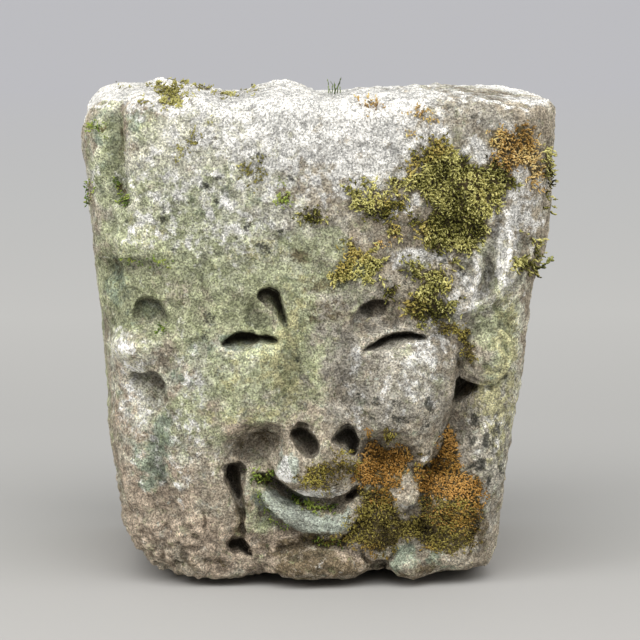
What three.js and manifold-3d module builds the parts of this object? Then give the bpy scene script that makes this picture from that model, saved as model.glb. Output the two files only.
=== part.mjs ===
// A weathered stone corbel: a block that narrows towards its foot, with a worn grotesque mask carved
// across its front. It was built into a wall at its flat back and carried a beam on the bed of its top.
// The block is one solid. Its skin is a stack of rings round the sides and the front, raised and sunk
// by the soft carving. The bold forms are joined to it, and the drilled and undercut places are cut
// out of it. Last, it is cut off flat at the back and underneath.
// Millimetres. X runs to the right as one faces the mask, Y into the wall and Z up.
// The origin is the middle of the flat back.
import * as THREE from "three";
import { mergeVertices } from "three/addons/utils/BufferGeometryUtils.js";
import Module from "manifold-3d";

const wasm = await Module();
wasm.setup();

// Driving sizes of the block
const blockHeight = 390;
const topHalfWidth = 183;
const footHalfWidthLeft = 149;
const footHalfWidthRight = 136;
const topDepth = 282;
const faceBatter = 26; // how far the face stands back at the foot
const batterCurve = 1.7; // 1 sets it back evenly, and more bends it in towards the foot
const leftBelly = 2.5; // how far the left side bulges out at half height
const cornerRadiusLeft = 58;
const cornerRadiusRight = 40;
const topRoundFront = 22;
const topRoundLeft = 26;
const topRoundRight = 15;
const footRoundLeft = 44;
const footRoundFront = 12;
const footRoundRight = 16;
const arrisDrop = 16; // from the block's highest point down to the arris round its top
const bedDrop = 19; // and down to the flat bed
const bedHalfWidth = 108;
const bedDepth = 150;
const unevenBroad = 1.5; // the dressed faces wander in and out by this much, slowly
const unevenNarrow = 0.7; // and by this much over a shorter way

// Carving is given in hundredths of the block's height, which keeps the mask in proportion.
const unit = blockHeight / 100;

// How finely the skin is divided
const sideColumns = 3;
const cornerColumns = 7;
const frontColumns = 38;
const footRings = 3;
const mouthRings = 19;
const eyeRings = 13;
const foreheadRings = 5;
const topRings = 3;
const crestRings = 4;
const ovalSides = 12;
const tubeSides = 7;
const mouthTop = 34; // in units: the skin is finest below this
const eyesTop = 66; // in units: the plain forehead begins here
const carvingTop = 93; // in units: the carving fades away from here up

const overrun = 14; // how far the skin runs on past the flat cuts before they are made

const clamp = THREE.MathUtils.clamp;
const lerp = THREE.MathUtils.lerp;
const radians = THREE.MathUtils.degToRad;
const smooth = (low, high, value) => THREE.MathUtils.smoothstep(value, low, high);

// 1 in the middle, falling evenly to 0 at a distance of 1
const bell = (distance) => (Math.abs(distance) < 1 ? (1 - distance * distance) ** 2 : 0);

// The block's plain form

function halfWidth(left, z) {
  const share = clamp(z / blockHeight, 0, 1);
  const belly = left ? leftBelly * Math.sin(Math.PI * share) : 0;
  return lerp(left ? footHalfWidthLeft : footHalfWidthRight, topHalfWidth, share) + belly;
}

function depthAt(z) {
  return topDepth - faceBatter * (1 - clamp(z / blockHeight, 0, 1)) ** batterCurve;
}

const cornerRadius = (left) => (left ? cornerRadiusLeft : cornerRadiusRight);

// Where the flat of the front ends and the corner begins, from the middle of the front
const cornerStart = (left, z) => halfWidth(left, z) - cornerRadius(left);

const cornerLength = (left) => (cornerRadius(left) * Math.PI) / 2;

// From the corner to the end of the side, which runs on past the back
const sideLength = (left, z) => depthAt(z) - cornerRadius(left) + overrun;

// The plan of the block at height z, at a distance along the skin from the middle of the front
function plan(along, z) {
  const left = along < 0;
  const side = left ? -1 : 1;
  const radius = cornerRadius(left);
  const start = cornerStart(left, z);
  const depth = depthAt(z);
  const distance = Math.abs(along);
  if (distance <= start) {
    return { x: along, y: -depth, nx: 0, ny: -1 };
  }
  const angle = Math.min((distance - start) / radius, Math.PI / 2);
  const beyond = Math.max(0, distance - start - cornerLength(left));
  return {
    x: side * (start + radius * Math.sin(angle)),
    y: -(depth - radius + radius * Math.cos(angle)) + beyond,
    nx: side * Math.sin(angle),
    ny: -Math.cos(angle),
  };
}

// A place on the mask, [across, up] in units as one faces it, as [along the skin, up] in units
function unroll([across, up]) {
  const left = across < 0;
  const radius = cornerRadius(left);
  const start = cornerStart(left, up * unit);
  const x = Math.abs(across) * unit;
  if (x <= start) {
    return [across, up];
  }
  const angle = Math.asin(Math.min(1, (x - start) / radius));
  return [(Math.sign(across) * (start + radius * angle)) / unit, up];
}

// The soft carving: each tool tells how far the skin is raised, or sunk where it is negative, in units

// An oval swelling or hollow. It is flat in its middle where it is firm.
function oval(at, { middle, size, rise, turn = 0, firm = 1 }) {
  const dx = at[0] - middle[0];
  const dz = at[1] - middle[1];
  const across = (dx * Math.cos(radians(turn)) + dz * Math.sin(radians(turn))) / size[0];
  const up = (dz * Math.cos(radians(turn)) - dx * Math.sin(radians(turn))) / size[1];
  return rise * Math.min(1, firm * bell(Math.hypot(across, up)));
}

// A rib or furrow along a line of points. Its two sides may be unlike: the first width is on the
// left as one goes along the line.
function ridge(at, { line, widths, rise }) {
  let nearest = Infinity;
  let side = 0;
  for (let i = 0; i + 1 < line.length; i++) {
    const [ax, az] = line[i];
    const dx = line[i + 1][0] - ax;
    const dz = line[i + 1][1] - az;
    const share = clamp(((at[0] - ax) * dx + (at[1] - az) * dz) / (dx * dx + dz * dz), 0, 1);
    const ex = at[0] - ax - share * dx;
    const ez = at[1] - az - share * dz;
    const distance = Math.hypot(ex, ez);
    if (distance < nearest) {
      nearest = distance;
      side = dx * ez - dz * ex;
    }
  }
  return rise * bell(nearest / (side > 0 ? widths[0] : widths[1]));
}

const head = [
  { middle: [-3, 41], size: [36, 46], rise: 2.0, firm: 1.3 },
  { middle: [2, 80], size: [34, 22], rise: 0.8 },
  { middle: [-17.5, 38.5], size: [15, 14], rise: 2.2 },
  { middle: [14.8, 38.0], size: [12.8, 14.0], rise: 2.8, firm: 1.4 },
  { middle: [-23.5, 20], size: [8, 19], rise: 1.6 },
];

const eyes = [
  { middle: [-13, 55.0], size: [9.5, 6.5], rise: -1.5 },
  { middle: [13, 54.6], size: [9.5, 6.5], rise: -1.5 },
  { middle: [-14.5, 47.4], size: [8, 3.6], rise: 0.9 },
  { middle: [14, 47.0], size: [8, 3.6], rise: 1.0 },
  { middle: [-8.5, 62], size: [9, 4], rise: 0.7 },
  { middle: [9.5, 61], size: [9, 4], rise: 0.9 },
];

const muzzle = [
  { middle: [-0.5, 32.4], size: [11.0, 8.0], rise: 2.6, firm: 1.3 },
  { middle: [-1.6, 25.2], size: [10.6, 8.6], rise: 3.6, firm: 1.9, turn: -5 },
  { middle: [-13.0, 29.2], size: [6.4, 5.6], rise: -4.2, turn: 24, firm: 1.2 },
  { middle: [12.8, 26.6], size: [8.8, 5.2], rise: -3.4, turn: -22, firm: 1.2 },
  { middle: [-2.6, 15.4], size: [13.0, 8.0], rise: -1.8, turn: -10, firm: 1.3 },
];

const jaw = [
  { middle: [21.4, 16.6], size: [4.4, 5.0], rise: 1.6 },
  { middle: [25.5, 6.5], size: [7.5, 6.0], rise: 1.2 },
  { middle: [18.2, 12.0], size: [4.0, 3.0], rise: -1.6 },
  { middle: [-23.2, 15.2], size: [2.2, 3.4], rise: -1.0 },
  { middle: [-2.8, 8.6], size: [9.0, 1.9], rise: -1.3 },
  { middle: [-29.0, 7.6], size: [8.0, 2.2], rise: -0.9 },
  { middle: [-33.5, 11.5], size: [6.0, 4.0], rise: 0.9 },
];

const sides = [
  { middle: [-37.0, 48.0], size: [8.0, 5.6], rise: 2.4 },
  { middle: [-37.0, 55.5], size: [6.6, 4.6], rise: -2.0 },
  { middle: [-36.0, 39.6], size: [6.0, 5.0], rise: -2.2, turn: 30 },
  { middle: [-41.5, 62.8], size: [5.0, 5.6], rise: -2.4 },
  { middle: [-37.0, 68.6], size: [7.0, 4.4], rise: 1.3 },
  { middle: [-37.0, 22.0], size: [6.0, 13.0], rise: 1.3 },
  { middle: [26.4, 58.4], size: [4.6, 6.0], rise: 1.5 },
  { middle: [32.4, 61.0], size: [3.6, 5.2], rise: -1.9 },
  { middle: [37.0, 52.0], size: [5.0, 5.0], rise: -1.2 },
  { middle: [32.5, 25.0], size: [5.5, 13.0], rise: 1.0 },
  { middle: [45.0, 71.0], size: [12.0, 15.0], rise: 1.9 },
  { middle: [-46.0, 88.0], size: [12.0, 7.0], rise: 1.2 },
];

const ridges = [
  { line: [[-0.8, 57], [-0.9, 48], [-0.6, 36]], widths: [7.4, 7.4], rise: 1.7 },
  { line: [[-15.0, 23.4], [-14.4, 17.0], [-13.6, 11.0]], widths: [1.9, 1.9], rise: 1.5 },
  { line: [[-20.4, 25.0], [-19.6, 16.0], [-20.0, 8.0]], widths: [2.8, 3.6], rise: 1.1 },
  { line: [[-40.2, 98], [-40.2, 88], [-39.8, 80], [-40.6, 74]], widths: [2.6, 4.6], rise: -2.6 },
  { line: [[-30.6, 42], [-31.0, 34], [-30.6, 24], [-29.0, 14]], widths: [1.7, 7.5], rise: -1.9 },
  { line: [[26.4, 44], [26.0, 38], [24.2, 33.4], [23.0, 27], [21.0, 23.6]], widths: [8.5, 1.7], rise: -3.2 },
  { line: [[21.0, 23.6], [19.6, 18.0], [19.0, 10.0]], widths: [4.5, 1.7], rise: -1.5 },
  { line: [[36.4, 66], [35.6, 60.4], [32.8, 56.8], [29.0, 55.4]], widths: [2.0, 2.0], rise: 1.1 },
];

const unrollLine = (part) => ({ ...part, line: part.line.map(unroll) });
const unrollMiddle = (part) => ({ ...part, middle: unroll(part.middle) });
const softOvals = [...head, ...eyes, ...muzzle, ...jaw, ...sides].map(unrollMiddle);
const softRidges = ridges.map(unrollLine);

// Unevenness of an old dressed face, all round the block, in millimetres
function unevenness(along, z) {
  const broad = Math.sin(along / 47 + z / 61) * Math.cos(z / 53 - along / 91);
  const narrow = Math.sin(along / 23 - z / 29 + 1.3) * Math.cos(z / 19 + along / 37);
  return unevenBroad * broad + unevenNarrow * narrow;
}

// How far the skin is raised there, in millimetres
function carving(along, z) {
  const at = [along / unit, z / unit];
  let rise = 0;
  for (const part of softOvals) {
    rise += oval(at, part);
  }
  for (const part of softRidges) {
    rise += ridge(at, part);
  }
  const carved = 1 - smooth(carvingTop, 100, at[1]);
  return rise * unit * carved + unevenness(along, z);
}

// The skin's point and outward direction at a distance along it and a height
function onSkin(along, z, inset = 0) {
  const p = plan(along, z);
  const out = carving(along, z) - inset;
  return {
    point: new THREE.Vector3(p.x + p.nx * out, p.y + p.ny * out, z),
    outward: new THREE.Vector3(p.nx, p.ny, 0),
  };
}

// The crest of the worn lip round the bed, as a drop from the highest point, across the front
const crest = [
  { middle: -0.76, half: 0.5, rise: 14.0 },
  { middle: -0.16, half: 0.22, rise: 11.0 },
  { middle: 0.3, half: 0.32, rise: 7.5 },
  { middle: 0.6, half: 0.3, rise: 8.0 },
];
const crestLow = 14.5;
const arrisFollows = 0.4; // share of the crest's ups and downs that the arris in front of it has
const crestShare = 0.6; // where the crest lies on the way from the arris to the bed

function crestDrop(x) {
  const across = x / topHalfWidth;
  const rises = crest.map(({ middle, half, rise }) => rise * bell((across - middle) / half));
  return Math.max(0.5, crestLow - rises.reduce((sum, rise) => sum + rise, 0));
}

const arrisAt = (x) => blockHeight - lerp(arrisDrop, crestDrop(x), arrisFollows);

// A value for the left, the front and the right, blended round the corners
function round(along, z, left, front, right) {
  const target = along < 0 ? left : right;
  const start = cornerStart(along < 0, z);
  const radius = cornerRadius(along < 0);
  return lerp(front, target, smooth(start - radius * 0.4, start + radius * 0.9, Math.abs(along)));
}

// The columns of the skin, as distances along it at any height, from the left back to the right back
function columns() {
  const places = [];
  const oneSide = [];
  for (let i = 1; i <= cornerColumns; i++) {
    oneSide.push((left, z) => cornerStart(left, z) + (i / cornerColumns) * cornerLength(left));
  }
  for (let i = 1; i <= sideColumns; i++) {
    const share = i / sideColumns;
    oneSide.push((left, z) => cornerStart(left, z) + cornerLength(left) + share * sideLength(left, z));
  }
  for (const place of [...oneSide].reverse()) {
    places.push((z) => -place(true, z));
  }
  for (let i = 0; i <= frontColumns; i++) {
    const share = (2 * i) / frontColumns - 1;
    places.push((z) => share * cornerStart(share < 0, z));
  }
  for (const place of oneSide) {
    places.push((z) => place(false, z));
  }
  return places;
}

// Heights of the rings between the rounding of the foot and that of the top
function wallHeights(shoulder) {
  const stretches = [
    [mouthRings, mouthTop * unit],
    [eyeRings, eyesTop * unit],
    [foreheadRings, shoulder],
  ];
  const heights = [];
  let from = 0;
  for (const [count, to] of stretches) {
    for (let k = 1; k <= count; k++) {
      heights.push(lerp(from, to, k / count));
    }
    from = to;
  }
  return heights;
}

// Closed skin: rings from the foot to the bed
function skinGeometry() {
  const places = columns();
  const foot = places.map((place) => round(place(0), 0, footRoundLeft, footRoundFront, footRoundRight));
  const rings = [places.map((place, i) => onSkin(place(0), 0, foot[i]).point.setZ(-overrun))];
  for (let k = 0; k <= footRings; k++) {
    const angle = ((k / footRings) * Math.PI) / 2;
    const rounding = places.map((place, i) => {
      const z = foot[i] * (1 - Math.cos(angle));
      return onSkin(place(z), z, foot[i] * (1 - Math.sin(angle))).point;
    });
    rings.push(rounding);
  }
  const topRound = (along) => round(along, blockHeight, topRoundLeft, topRoundFront, topRoundRight);
  const shoulder = blockHeight - arrisDrop - Math.max(topRoundLeft, topRoundFront, topRoundRight);
  for (const height of wallHeights(shoulder)) {
    const wall = places.map((place, i) => {
      const z = lerp(foot[i], shoulder, height / shoulder);
      return onSkin(place(z), z).point;
    });
    rings.push(wall);
  }
  for (let k = 1; k <= topRings; k++) {
    const angle = ((k / topRings) * Math.PI) / 2;
    const rounding = places.map((place) => {
      const radius = topRound(place(blockHeight));
      const { x } = plan(place(blockHeight), blockHeight);
      const z = lerp(Math.max(shoulder, arrisAt(x) - radius), arrisAt(x), Math.sin(angle));
      return onSkin(place(z), z, radius * (1 - Math.cos(angle))).point;
    });
    rings.push(rounding);
  }
  const arris = rings[rings.length - 1];
  const bedZ = blockHeight - bedDrop;
  for (let k = 1; k <= crestRings; k++) {
    const share = k / crestRings;
    const over = arris.map((p) => {
      const x = p.x * lerp(1, bedHalfWidth / topHalfWidth, share);
      const y = p.y * lerp(1, bedDepth / topDepth, share);
      const forward = 1 - smooth(-bedDepth, -bedDepth / 2, y);
      const high = lerp(p.z, blockHeight - crestDrop(x), forward);
      const risen = lerp(p.z, high, smooth(0, crestShare, share));
      return new THREE.Vector3(x, y, lerp(risen, bedZ, smooth(crestShare, 1, share)));
    });
    rings.push(over);
  }
  return closedStack(rings);
}

// A closed geometry from a stack of rings, with flat ends
function closedStack(rings) {
  const count = rings[0].length;
  const faces = [];
  for (let k = 0; k + 1 < rings.length; k++) {
    for (let i = 0; i < count; i++) {
      const a = k * count + i;
      const b = k * count + ((i + 1) % count);
      if ((i + k) % 2 === 0) {
        faces.push(a, b, b + count, a, b + count, a + count);
      } else {
        faces.push(a, b, a + count, b, b + count, a + count);
      }
    }
  }
  const last = (rings.length - 1) * count;
  const flatEnd = (ring) => {
    const outline = ring.map((p) => new THREE.Vector2(p.x, p.y));
    return THREE.ShapeUtils.triangulateShape(outline, []);
  };
  for (const [a, b, c] of flatEnd(rings[0])) {
    faces.push(a, c, b);
  }
  for (const [a, b, c] of flatEnd(rings[rings.length - 1])) {
    faces.push(last + a, last + b, last + c);
  }
  return indexedGeometry(rings.flat(), faces);
}

function indexedGeometry(points, faces) {
  const geometry = new THREE.BufferGeometry();
  const positions = points.flatMap((p) => [p.x, p.y, p.z]);
  geometry.setAttribute("position", new THREE.Float32BufferAttribute(positions, 3));
  geometry.setIndex(faces);
  return geometry;
}

// The bold forms and the cuts. An oval one has its middle on the skin, moved out by a distance, and
// its half width, half height and half depth. It may be turned on the skin like a clock's hand, tipped
// so that it goes upwards as it goes in, and swung so that it goes to the right as it goes in.

const lobes = [
  { name: "chin", middle: [-1.0, 4.6], size: [10.8, 4.6, 3.6], out: -1.2 },
  { name: "lump by the chin", middle: [16.8, 4.0], size: [4.4, 4.6, 3.8], out: -1.4 },
  { name: "lump by the mouth", middle: [15.4, 19.6], size: [4.0, 3.8, 2.4], out: -0.8 },
  { name: "right ear", middle: [31.0, 46.8], size: [6.4, 6.3, 2.5], out: -0.1, swing: 25 },
];

const lips = [
  {
    name: "lower lip",
    path: [
      [-12.4, 20.6, 0.9],
      [-11.0, 18.0, 1.5],
      [-8.6, 15.8, 2.1],
      [-5.2, 14.3, 2.6],
      [-1.8, 13.3, 2.9],
      [1.9, 13.1, 2.7],
      [4.6, 14.4, 2.3],
      [6.6, 16.6, 1.7],
      [7.4, 19.2, 0.9],
    ],
    out: 0.3,
    deepened: 0.9,
  },
];

const pits = [
  {
    name: "left eye socket",
    middle: [-11.6, 54.8],
    size: [5.0, 4.4, 2.6],
    out: 1.5,
    turn: 20,
    swing: 16,
    tip: 12,
  },
  {
    name: "right eye socket",
    middle: [10.6, 54.0],
    size: [5.6, 4.3, 2.6],
    out: 1.4,
    turn: -14,
    swing: -14,
    tip: 14,
  },
  { name: "left nostril", middle: [-4.3, 30.6], size: [2.5, 2.6, 5.4], out: 0, turn: 12, tip: 34 },
  { name: "right nostril", middle: [3.9, 30.3], size: [2.5, 2.4, 5.2], out: 0, turn: -12, tip: 34 },
  { name: "beard hole", middle: [-16.4, 9.0], size: [2.3, 1.4, 4.2], out: 0, turn: -18, tip: 24 },
  {
    name: "hole at the mouth's right corner",
    middle: [6.4, 19.8],
    size: [1.5, 1.0, 3.2],
    out: 0,
    turn: 24,
    tip: 20,
  },
  {
    name: "hollow over the left ear",
    middle: [-33.6, 55.2],
    size: [3.7, 2.9, 3.0],
    out: 0.5,
    turn: -24,
    swing: 28,
  },
  {
    name: "hollow under the left ear",
    middle: [-33.6, 40.4],
    size: [2.9, 3.4, 3.8],
    out: 0.4,
    turn: 14,
    swing: 26,
    tip: 18,
  },
  {
    name: "hollow under the right ear",
    middle: [27.6, 39.8],
    size: [3.0, 2.4, 4.6],
    out: 0.4,
    turn: -16,
    swing: -24,
    tip: 24,
  },
  { name: "gap beside the chin", middle: [11.2, 2.2], size: [2.7, 3.4, 5.2], out: 0.6 },
  { name: "notch left of the chin", middle: [-13.4, 0.6], size: [2.6, 1.8, 4.0], out: 0.4 },
];

// A furrow's path: [across, up, half width], in units. Its middle line lies out from the skin by a
// distance, and it is deepened by a factor, as a chisel goes deeper than it is wide.
const furrows = [
  {
    name: "left brow drill",
    path: [
      [-11.4, 58.6, 1.2],
      [-10.6, 57.9, 1.8],
      [-9.4, 56.4, 1.4],
      [-8.2, 54.2, 0.9],
      [-7.3, 52.0, 0.5],
    ],
    out: 0,
    deepened: 1.9,
  },
  {
    name: "right brow drill",
    path: [
      [12.4, 57.0, 0.8],
      [10.6, 57.2, 1.5],
      [8.8, 56.7, 1.4],
      [6.8, 54.9, 0.8],
      [5.4, 52.2, 0.4],
    ],
    out: 0,
    deepened: 1.7,
  },
  {
    name: "left eye slit",
    path: [
      [-19.9, 48.8, 0.5],
      [-17.4, 50.0, 1.3],
      [-14.4, 50.2, 1.7],
      [-11.4, 50.0, 1.3],
      [-8.8, 49.5, 0.7],
    ],
    out: -0.6,
    deepened: 2.2,
  },
  {
    name: "right eye slit",
    path: [
      [7.3, 48.0, 0.4],
      [10.2, 49.5, 0.9],
      [13.6, 50.3, 1.4],
      [16.8, 50.4, 1.4],
      [19.8, 49.9, 0.7],
    ],
    out: -0.6,
    deepened: 2.2,
  },
  {
    name: "mouth",
    path: [
      [-13.4, 23.2, 0.7],
      [-12.0, 22.3, 1.4],
      [-10.0, 21.0, 1.7],
      [-7.8, 19.5, 1.5],
      [-5.2, 18.0, 1.2],
      [-2.0, 17.2, 1.0],
      [1.9, 17.3, 0.9],
      [4.6, 18.3, 0.9],
      [6.8, 20.0, 0.8],
    ],
    out: 0.2,
    deepened: 2.2,
  },
  {
    name: "slot beside the mouth",
    path: [
      [-18.1, 25.7, 1.3],
      [-18.0, 23.0, 1.8],
      [-17.2, 20.2, 1.3],
      [-16.2, 17.0, 0.8],
      [-15.8, 14.2, 0.6],
      [-15.8, 11.0, 0.7],
    ],
    out: -0.4,
    deepened: 2.0,
  },
];

// A solid for joining and cutting, from a closed geometry
function solidOf(geometry) {
  const bare = geometry.clone();
  bare.deleteAttribute("normal");
  bare.deleteAttribute("uv");
  const merged = mergeVertices(bare, 1e-4);
  return new wasm.Manifold(
    new wasm.Mesh({
      numProp: 3,
      vertProperties: new Float32Array(merged.attributes.position.array),
      triVerts: new Uint32Array(merged.index.array),
    }),
  );
}

const up = new THREE.Vector3(0, 0, 1);

function ovalSolid({ middle, size, out, turn = 0, tip = 0, swing = 0 }) {
  const [along, height] = unroll(middle);
  const { point, outward } = onSkin(along * unit, height * unit);
  const inward = outward.clone().negate();
  const across = new THREE.Vector3().crossVectors(inward, up);
  const geometry = new THREE.SphereGeometry(unit, ovalSides, 8);
  geometry.rotateX(Math.PI / 2);
  geometry.scale(size[0], size[2], size[1]);
  geometry.rotateY(radians(turn));
  geometry.rotateX(radians(tip));
  geometry.rotateZ(radians(-swing));
  geometry.applyMatrix4(new THREE.Matrix4().makeBasis(across, inward, up));
  point.addScaledVector(outward, out * unit);
  geometry.translate(point.x, point.y, point.z);
  return solidOf(geometry);
}

// A closed tube of changing width along its path on the skin
function tubeSolid({ path, out, deepened }) {
  const stops = path.map(([across, height, radius]) => {
    const [along] = unroll([across, height]);
    const skin = onSkin(along * unit, height * unit);
    skin.point.addScaledVector(skin.outward, out * unit);
    return { ...skin, radius: radius * unit };
  });
  const rings = stops.map(({ point, outward, radius }, i) => {
    const before = stops[Math.max(0, i - 1)].point;
    const after = stops[Math.min(stops.length - 1, i + 1)].point;
    const flank = after.clone().sub(before).cross(outward).normalize();
    return Array.from({ length: tubeSides }, (_, k) => {
      const angle = (2 * Math.PI * k) / tubeSides;
      const place = point.clone().addScaledVector(flank, radius * Math.cos(angle));
      return place.addScaledVector(outward, deepened * radius * Math.sin(angle));
    });
  });
  const points = [stops[0].point, ...rings.flat(), stops[stops.length - 1].point];
  const end = points.length - 1;
  const faces = [];
  for (let k = 0; k < tubeSides; k++) {
    const next = (k + 1) % tubeSides;
    faces.push(0, 1 + k, 1 + next);
    faces.push(end, end - tubeSides + next, end - tubeSides + k);
    for (let i = 0; i + 1 < rings.length; i++) {
      const a = 1 + i * tubeSides;
      faces.push(a + k, a + tubeSides + next, a + next, a + k, a + tubeSides + k, a + tubeSides + next);
    }
  }
  return solidOf(indexedGeometry(points, faces));
}

// A block that takes away all beyond a flat cut
function beyond(x, y, z) {
  const size = 3 * blockHeight;
  const geometry = new THREE.BoxGeometry(size, size, size);
  geometry.translate((x * size) / 2, (y * size) / 2, (z * size) / 2);
  return solidOf(geometry);
}

function corbelGeometry() {
  let solid = solidOf(skinGeometry());
  for (const form of [...lobes.map(ovalSolid), ...lips.map(tubeSolid)]) {
    solid = solid.add(form);
  }
  for (const cut of [...pits.map(ovalSolid), ...furrows.map(tubeSolid), beyond(0, 1, 0), beyond(0, 0, -1)]) {
    solid = solid.subtract(cut);
  }
  const mesh = solid.getMesh();
  const geometry = new THREE.BufferGeometry();
  geometry.setAttribute("position", new THREE.BufferAttribute(mesh.vertProperties, 3));
  geometry.setIndex(new THREE.BufferAttribute(mesh.triVerts, 1));
  geometry.computeVertexNormals();
  return geometry;
}

const weatheredStone = new THREE.MeshStandardMaterial({ color: 0x9f9c88, roughness: 0.95, metalness: 0 });

const corbel = new THREE.Mesh(corbelGeometry(), weatheredStone);
corbel.name = "corbel";
corbel.position.z = -blockHeight / 2;

const part = new THREE.Group();
part.add(corbel);

export default part;
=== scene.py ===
import math

import bpy
import numpy as np
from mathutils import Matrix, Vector, noise
from mathutils.bvhtree import BVHTree


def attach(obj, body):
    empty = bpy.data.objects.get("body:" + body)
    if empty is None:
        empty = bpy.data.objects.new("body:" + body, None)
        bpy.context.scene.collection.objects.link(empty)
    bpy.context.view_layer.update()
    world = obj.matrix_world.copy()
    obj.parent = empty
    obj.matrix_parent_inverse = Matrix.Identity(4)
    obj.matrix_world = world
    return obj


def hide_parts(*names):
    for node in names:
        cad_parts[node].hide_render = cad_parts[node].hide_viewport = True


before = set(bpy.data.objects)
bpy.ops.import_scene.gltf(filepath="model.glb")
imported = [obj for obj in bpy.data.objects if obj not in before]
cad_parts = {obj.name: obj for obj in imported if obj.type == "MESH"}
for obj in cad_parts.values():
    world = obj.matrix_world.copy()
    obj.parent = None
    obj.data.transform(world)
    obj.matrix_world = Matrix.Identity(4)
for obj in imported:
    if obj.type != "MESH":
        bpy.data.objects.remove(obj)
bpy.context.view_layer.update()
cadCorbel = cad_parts["corbel"]
print("stage: the packed corbel is loaded")

shot = {
    "azimuth": -3.5, "elevation": 7.0, "distance": 2.3,  # degrees, degrees, metres from the target
    "target": (0.0, -0.145, -0.005),
    "lens": 161.7, "sensor": 36.0, "shift": (0.0094, 0.0066),
    "pixels": 640,  # the frame is square
}


def placeCamera(shot):
    turn, tilt = math.radians(shot["azimuth"]), math.radians(shot["elevation"])
    back = Vector((math.sin(turn) * math.cos(tilt), -math.cos(turn) * math.cos(tilt), math.sin(tilt)))
    place = Vector(shot["target"]) + back * shot["distance"]
    bpy.ops.object.camera_add(location=place, rotation=back.to_track_quat("Z", "Y").to_euler())
    camera = bpy.context.object
    camera.data.lens = shot["lens"]
    camera.data.sensor_width = shot["sensor"]
    camera.data.shift_x, camera.data.shift_y = shot["shift"]
    bpy.context.scene.camera = camera
    bpy.context.view_layer.update()
    return camera


camera = placeCamera(shot)
eye = np.array(camera.matrix_world.translation)
eyeAxes = np.array(camera.matrix_world.to_3x3())  # columns: right, up, back
focal = shot["lens"] / shot["sensor"] * shot["pixels"]
middle = (shot["pixels"] / 2 - shot["shift"][0] * shot["pixels"],
          shot["pixels"] / 2 + shot["shift"][1] * shot["pixels"])
pixel = shot["distance"] / focal  # metres across one frame pixel at the target


def frameSpots(points):  # where points in space fall in the frame, in pixels across and down
    seen = (points - eye) @ eyeAxes
    return np.stack([middle[0] - focal * seen[:, 0] / seen[:, 2],
                     middle[1] + focal * seen[:, 1] / seen[:, 2]], 1)


def smoothStep(low, high, value):
    t = np.clip((value - low) / (high - low), 0.0, 1.0)
    return t * t * (3 - 2 * t)


def only(piece):  # selects this piece alone, as operators act on all that is selected
    bpy.ops.object.select_all(action="DESELECT")
    piece.select_set(True)
    bpy.context.view_layer.objects.active = piece


def points(mesh):
    flat = np.empty(len(mesh.vertices) * 3)
    mesh.vertices.foreach_get("co", flat)
    return flat.reshape(-1, 3)


def normals(mesh):
    flat = np.empty(len(mesh.vertices) * 3)
    mesh.vertex_normals.foreach_get("vector", flat)
    return flat.reshape(-1, 3)


def edgeEnds(mesh):
    flat = np.empty(len(mesh.edges) * 2, dtype=np.int32)
    mesh.edges.foreach_get("vertices", flat)
    return flat.reshape(-1, 2)


def putPoints(mesh, places):
    mesh.vertices.foreach_set("co", places.reshape(-1))
    mesh.update()


def neighbourMean(values, ends):
    count = len(values)
    shared = np.maximum(np.bincount(ends.reshape(-1), minlength=count), 1)
    mean = np.empty_like(values)
    for k in range(values.shape[1]):
        mean[:, k] = (np.bincount(ends[:, 0], values[ends[:, 1], k], count)
                      + np.bincount(ends[:, 1], values[ends[:, 0], k], count)) / shared
    return mean


def applyModifier(piece, kind, **settings):
    only(piece)
    modifier = piece.modifiers.new(kind.lower(), kind)
    for name, value in settings.items():
        setattr(modifier, name, value)
    bpy.ops.object.modifier_apply(modifier=modifier.name)


stoneSizes = {
    "firstVoxel": 0.0018, "lastVoxel": 0.0014,  # metres; the second keeps the chisel work crisp
    "easing": 14,  # rounds of smoothing that take out the CAD model's facets
    "filling": 700,  # rounds in which a worn place is filled
    "triangles": 194000, "plainTriangles": 42000,  # in all, and on the sides that the camera does not see
}


def roughBlock(cad):
    block = bpy.data.objects.new("carvedStone", cad.data.copy())
    bpy.context.scene.collection.objects.link(block)
    only(block)
    bpy.ops.object.mode_set(mode="EDIT")
    bpy.ops.mesh.select_all(action="SELECT")
    bpy.ops.mesh.remove_doubles(threshold=1e-5)
    bpy.ops.mesh.normals_make_consistent(inside=False)
    bpy.ops.object.mode_set(mode="OBJECT")
    applyModifier(block, "REMESH", mode="VOXEL", voxel_size=stoneSizes["firstVoxel"], adaptivity=0)
    return block


def sawnFaces(places):  # the flat back and underside, which stay true
    return (places[:, 1] > -0.0015) | (places[:, 2] < -0.1938)


def eased(places, ends, rounds, shares=(0.5, -0.52)):
    sawn = sawnFaces(places)
    for turn in range(rounds):
        for share in shares:
            move = (neighbourMean(places, ends) - places) * share
            move[sawn] = 0
            places = places + move
    return places


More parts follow.
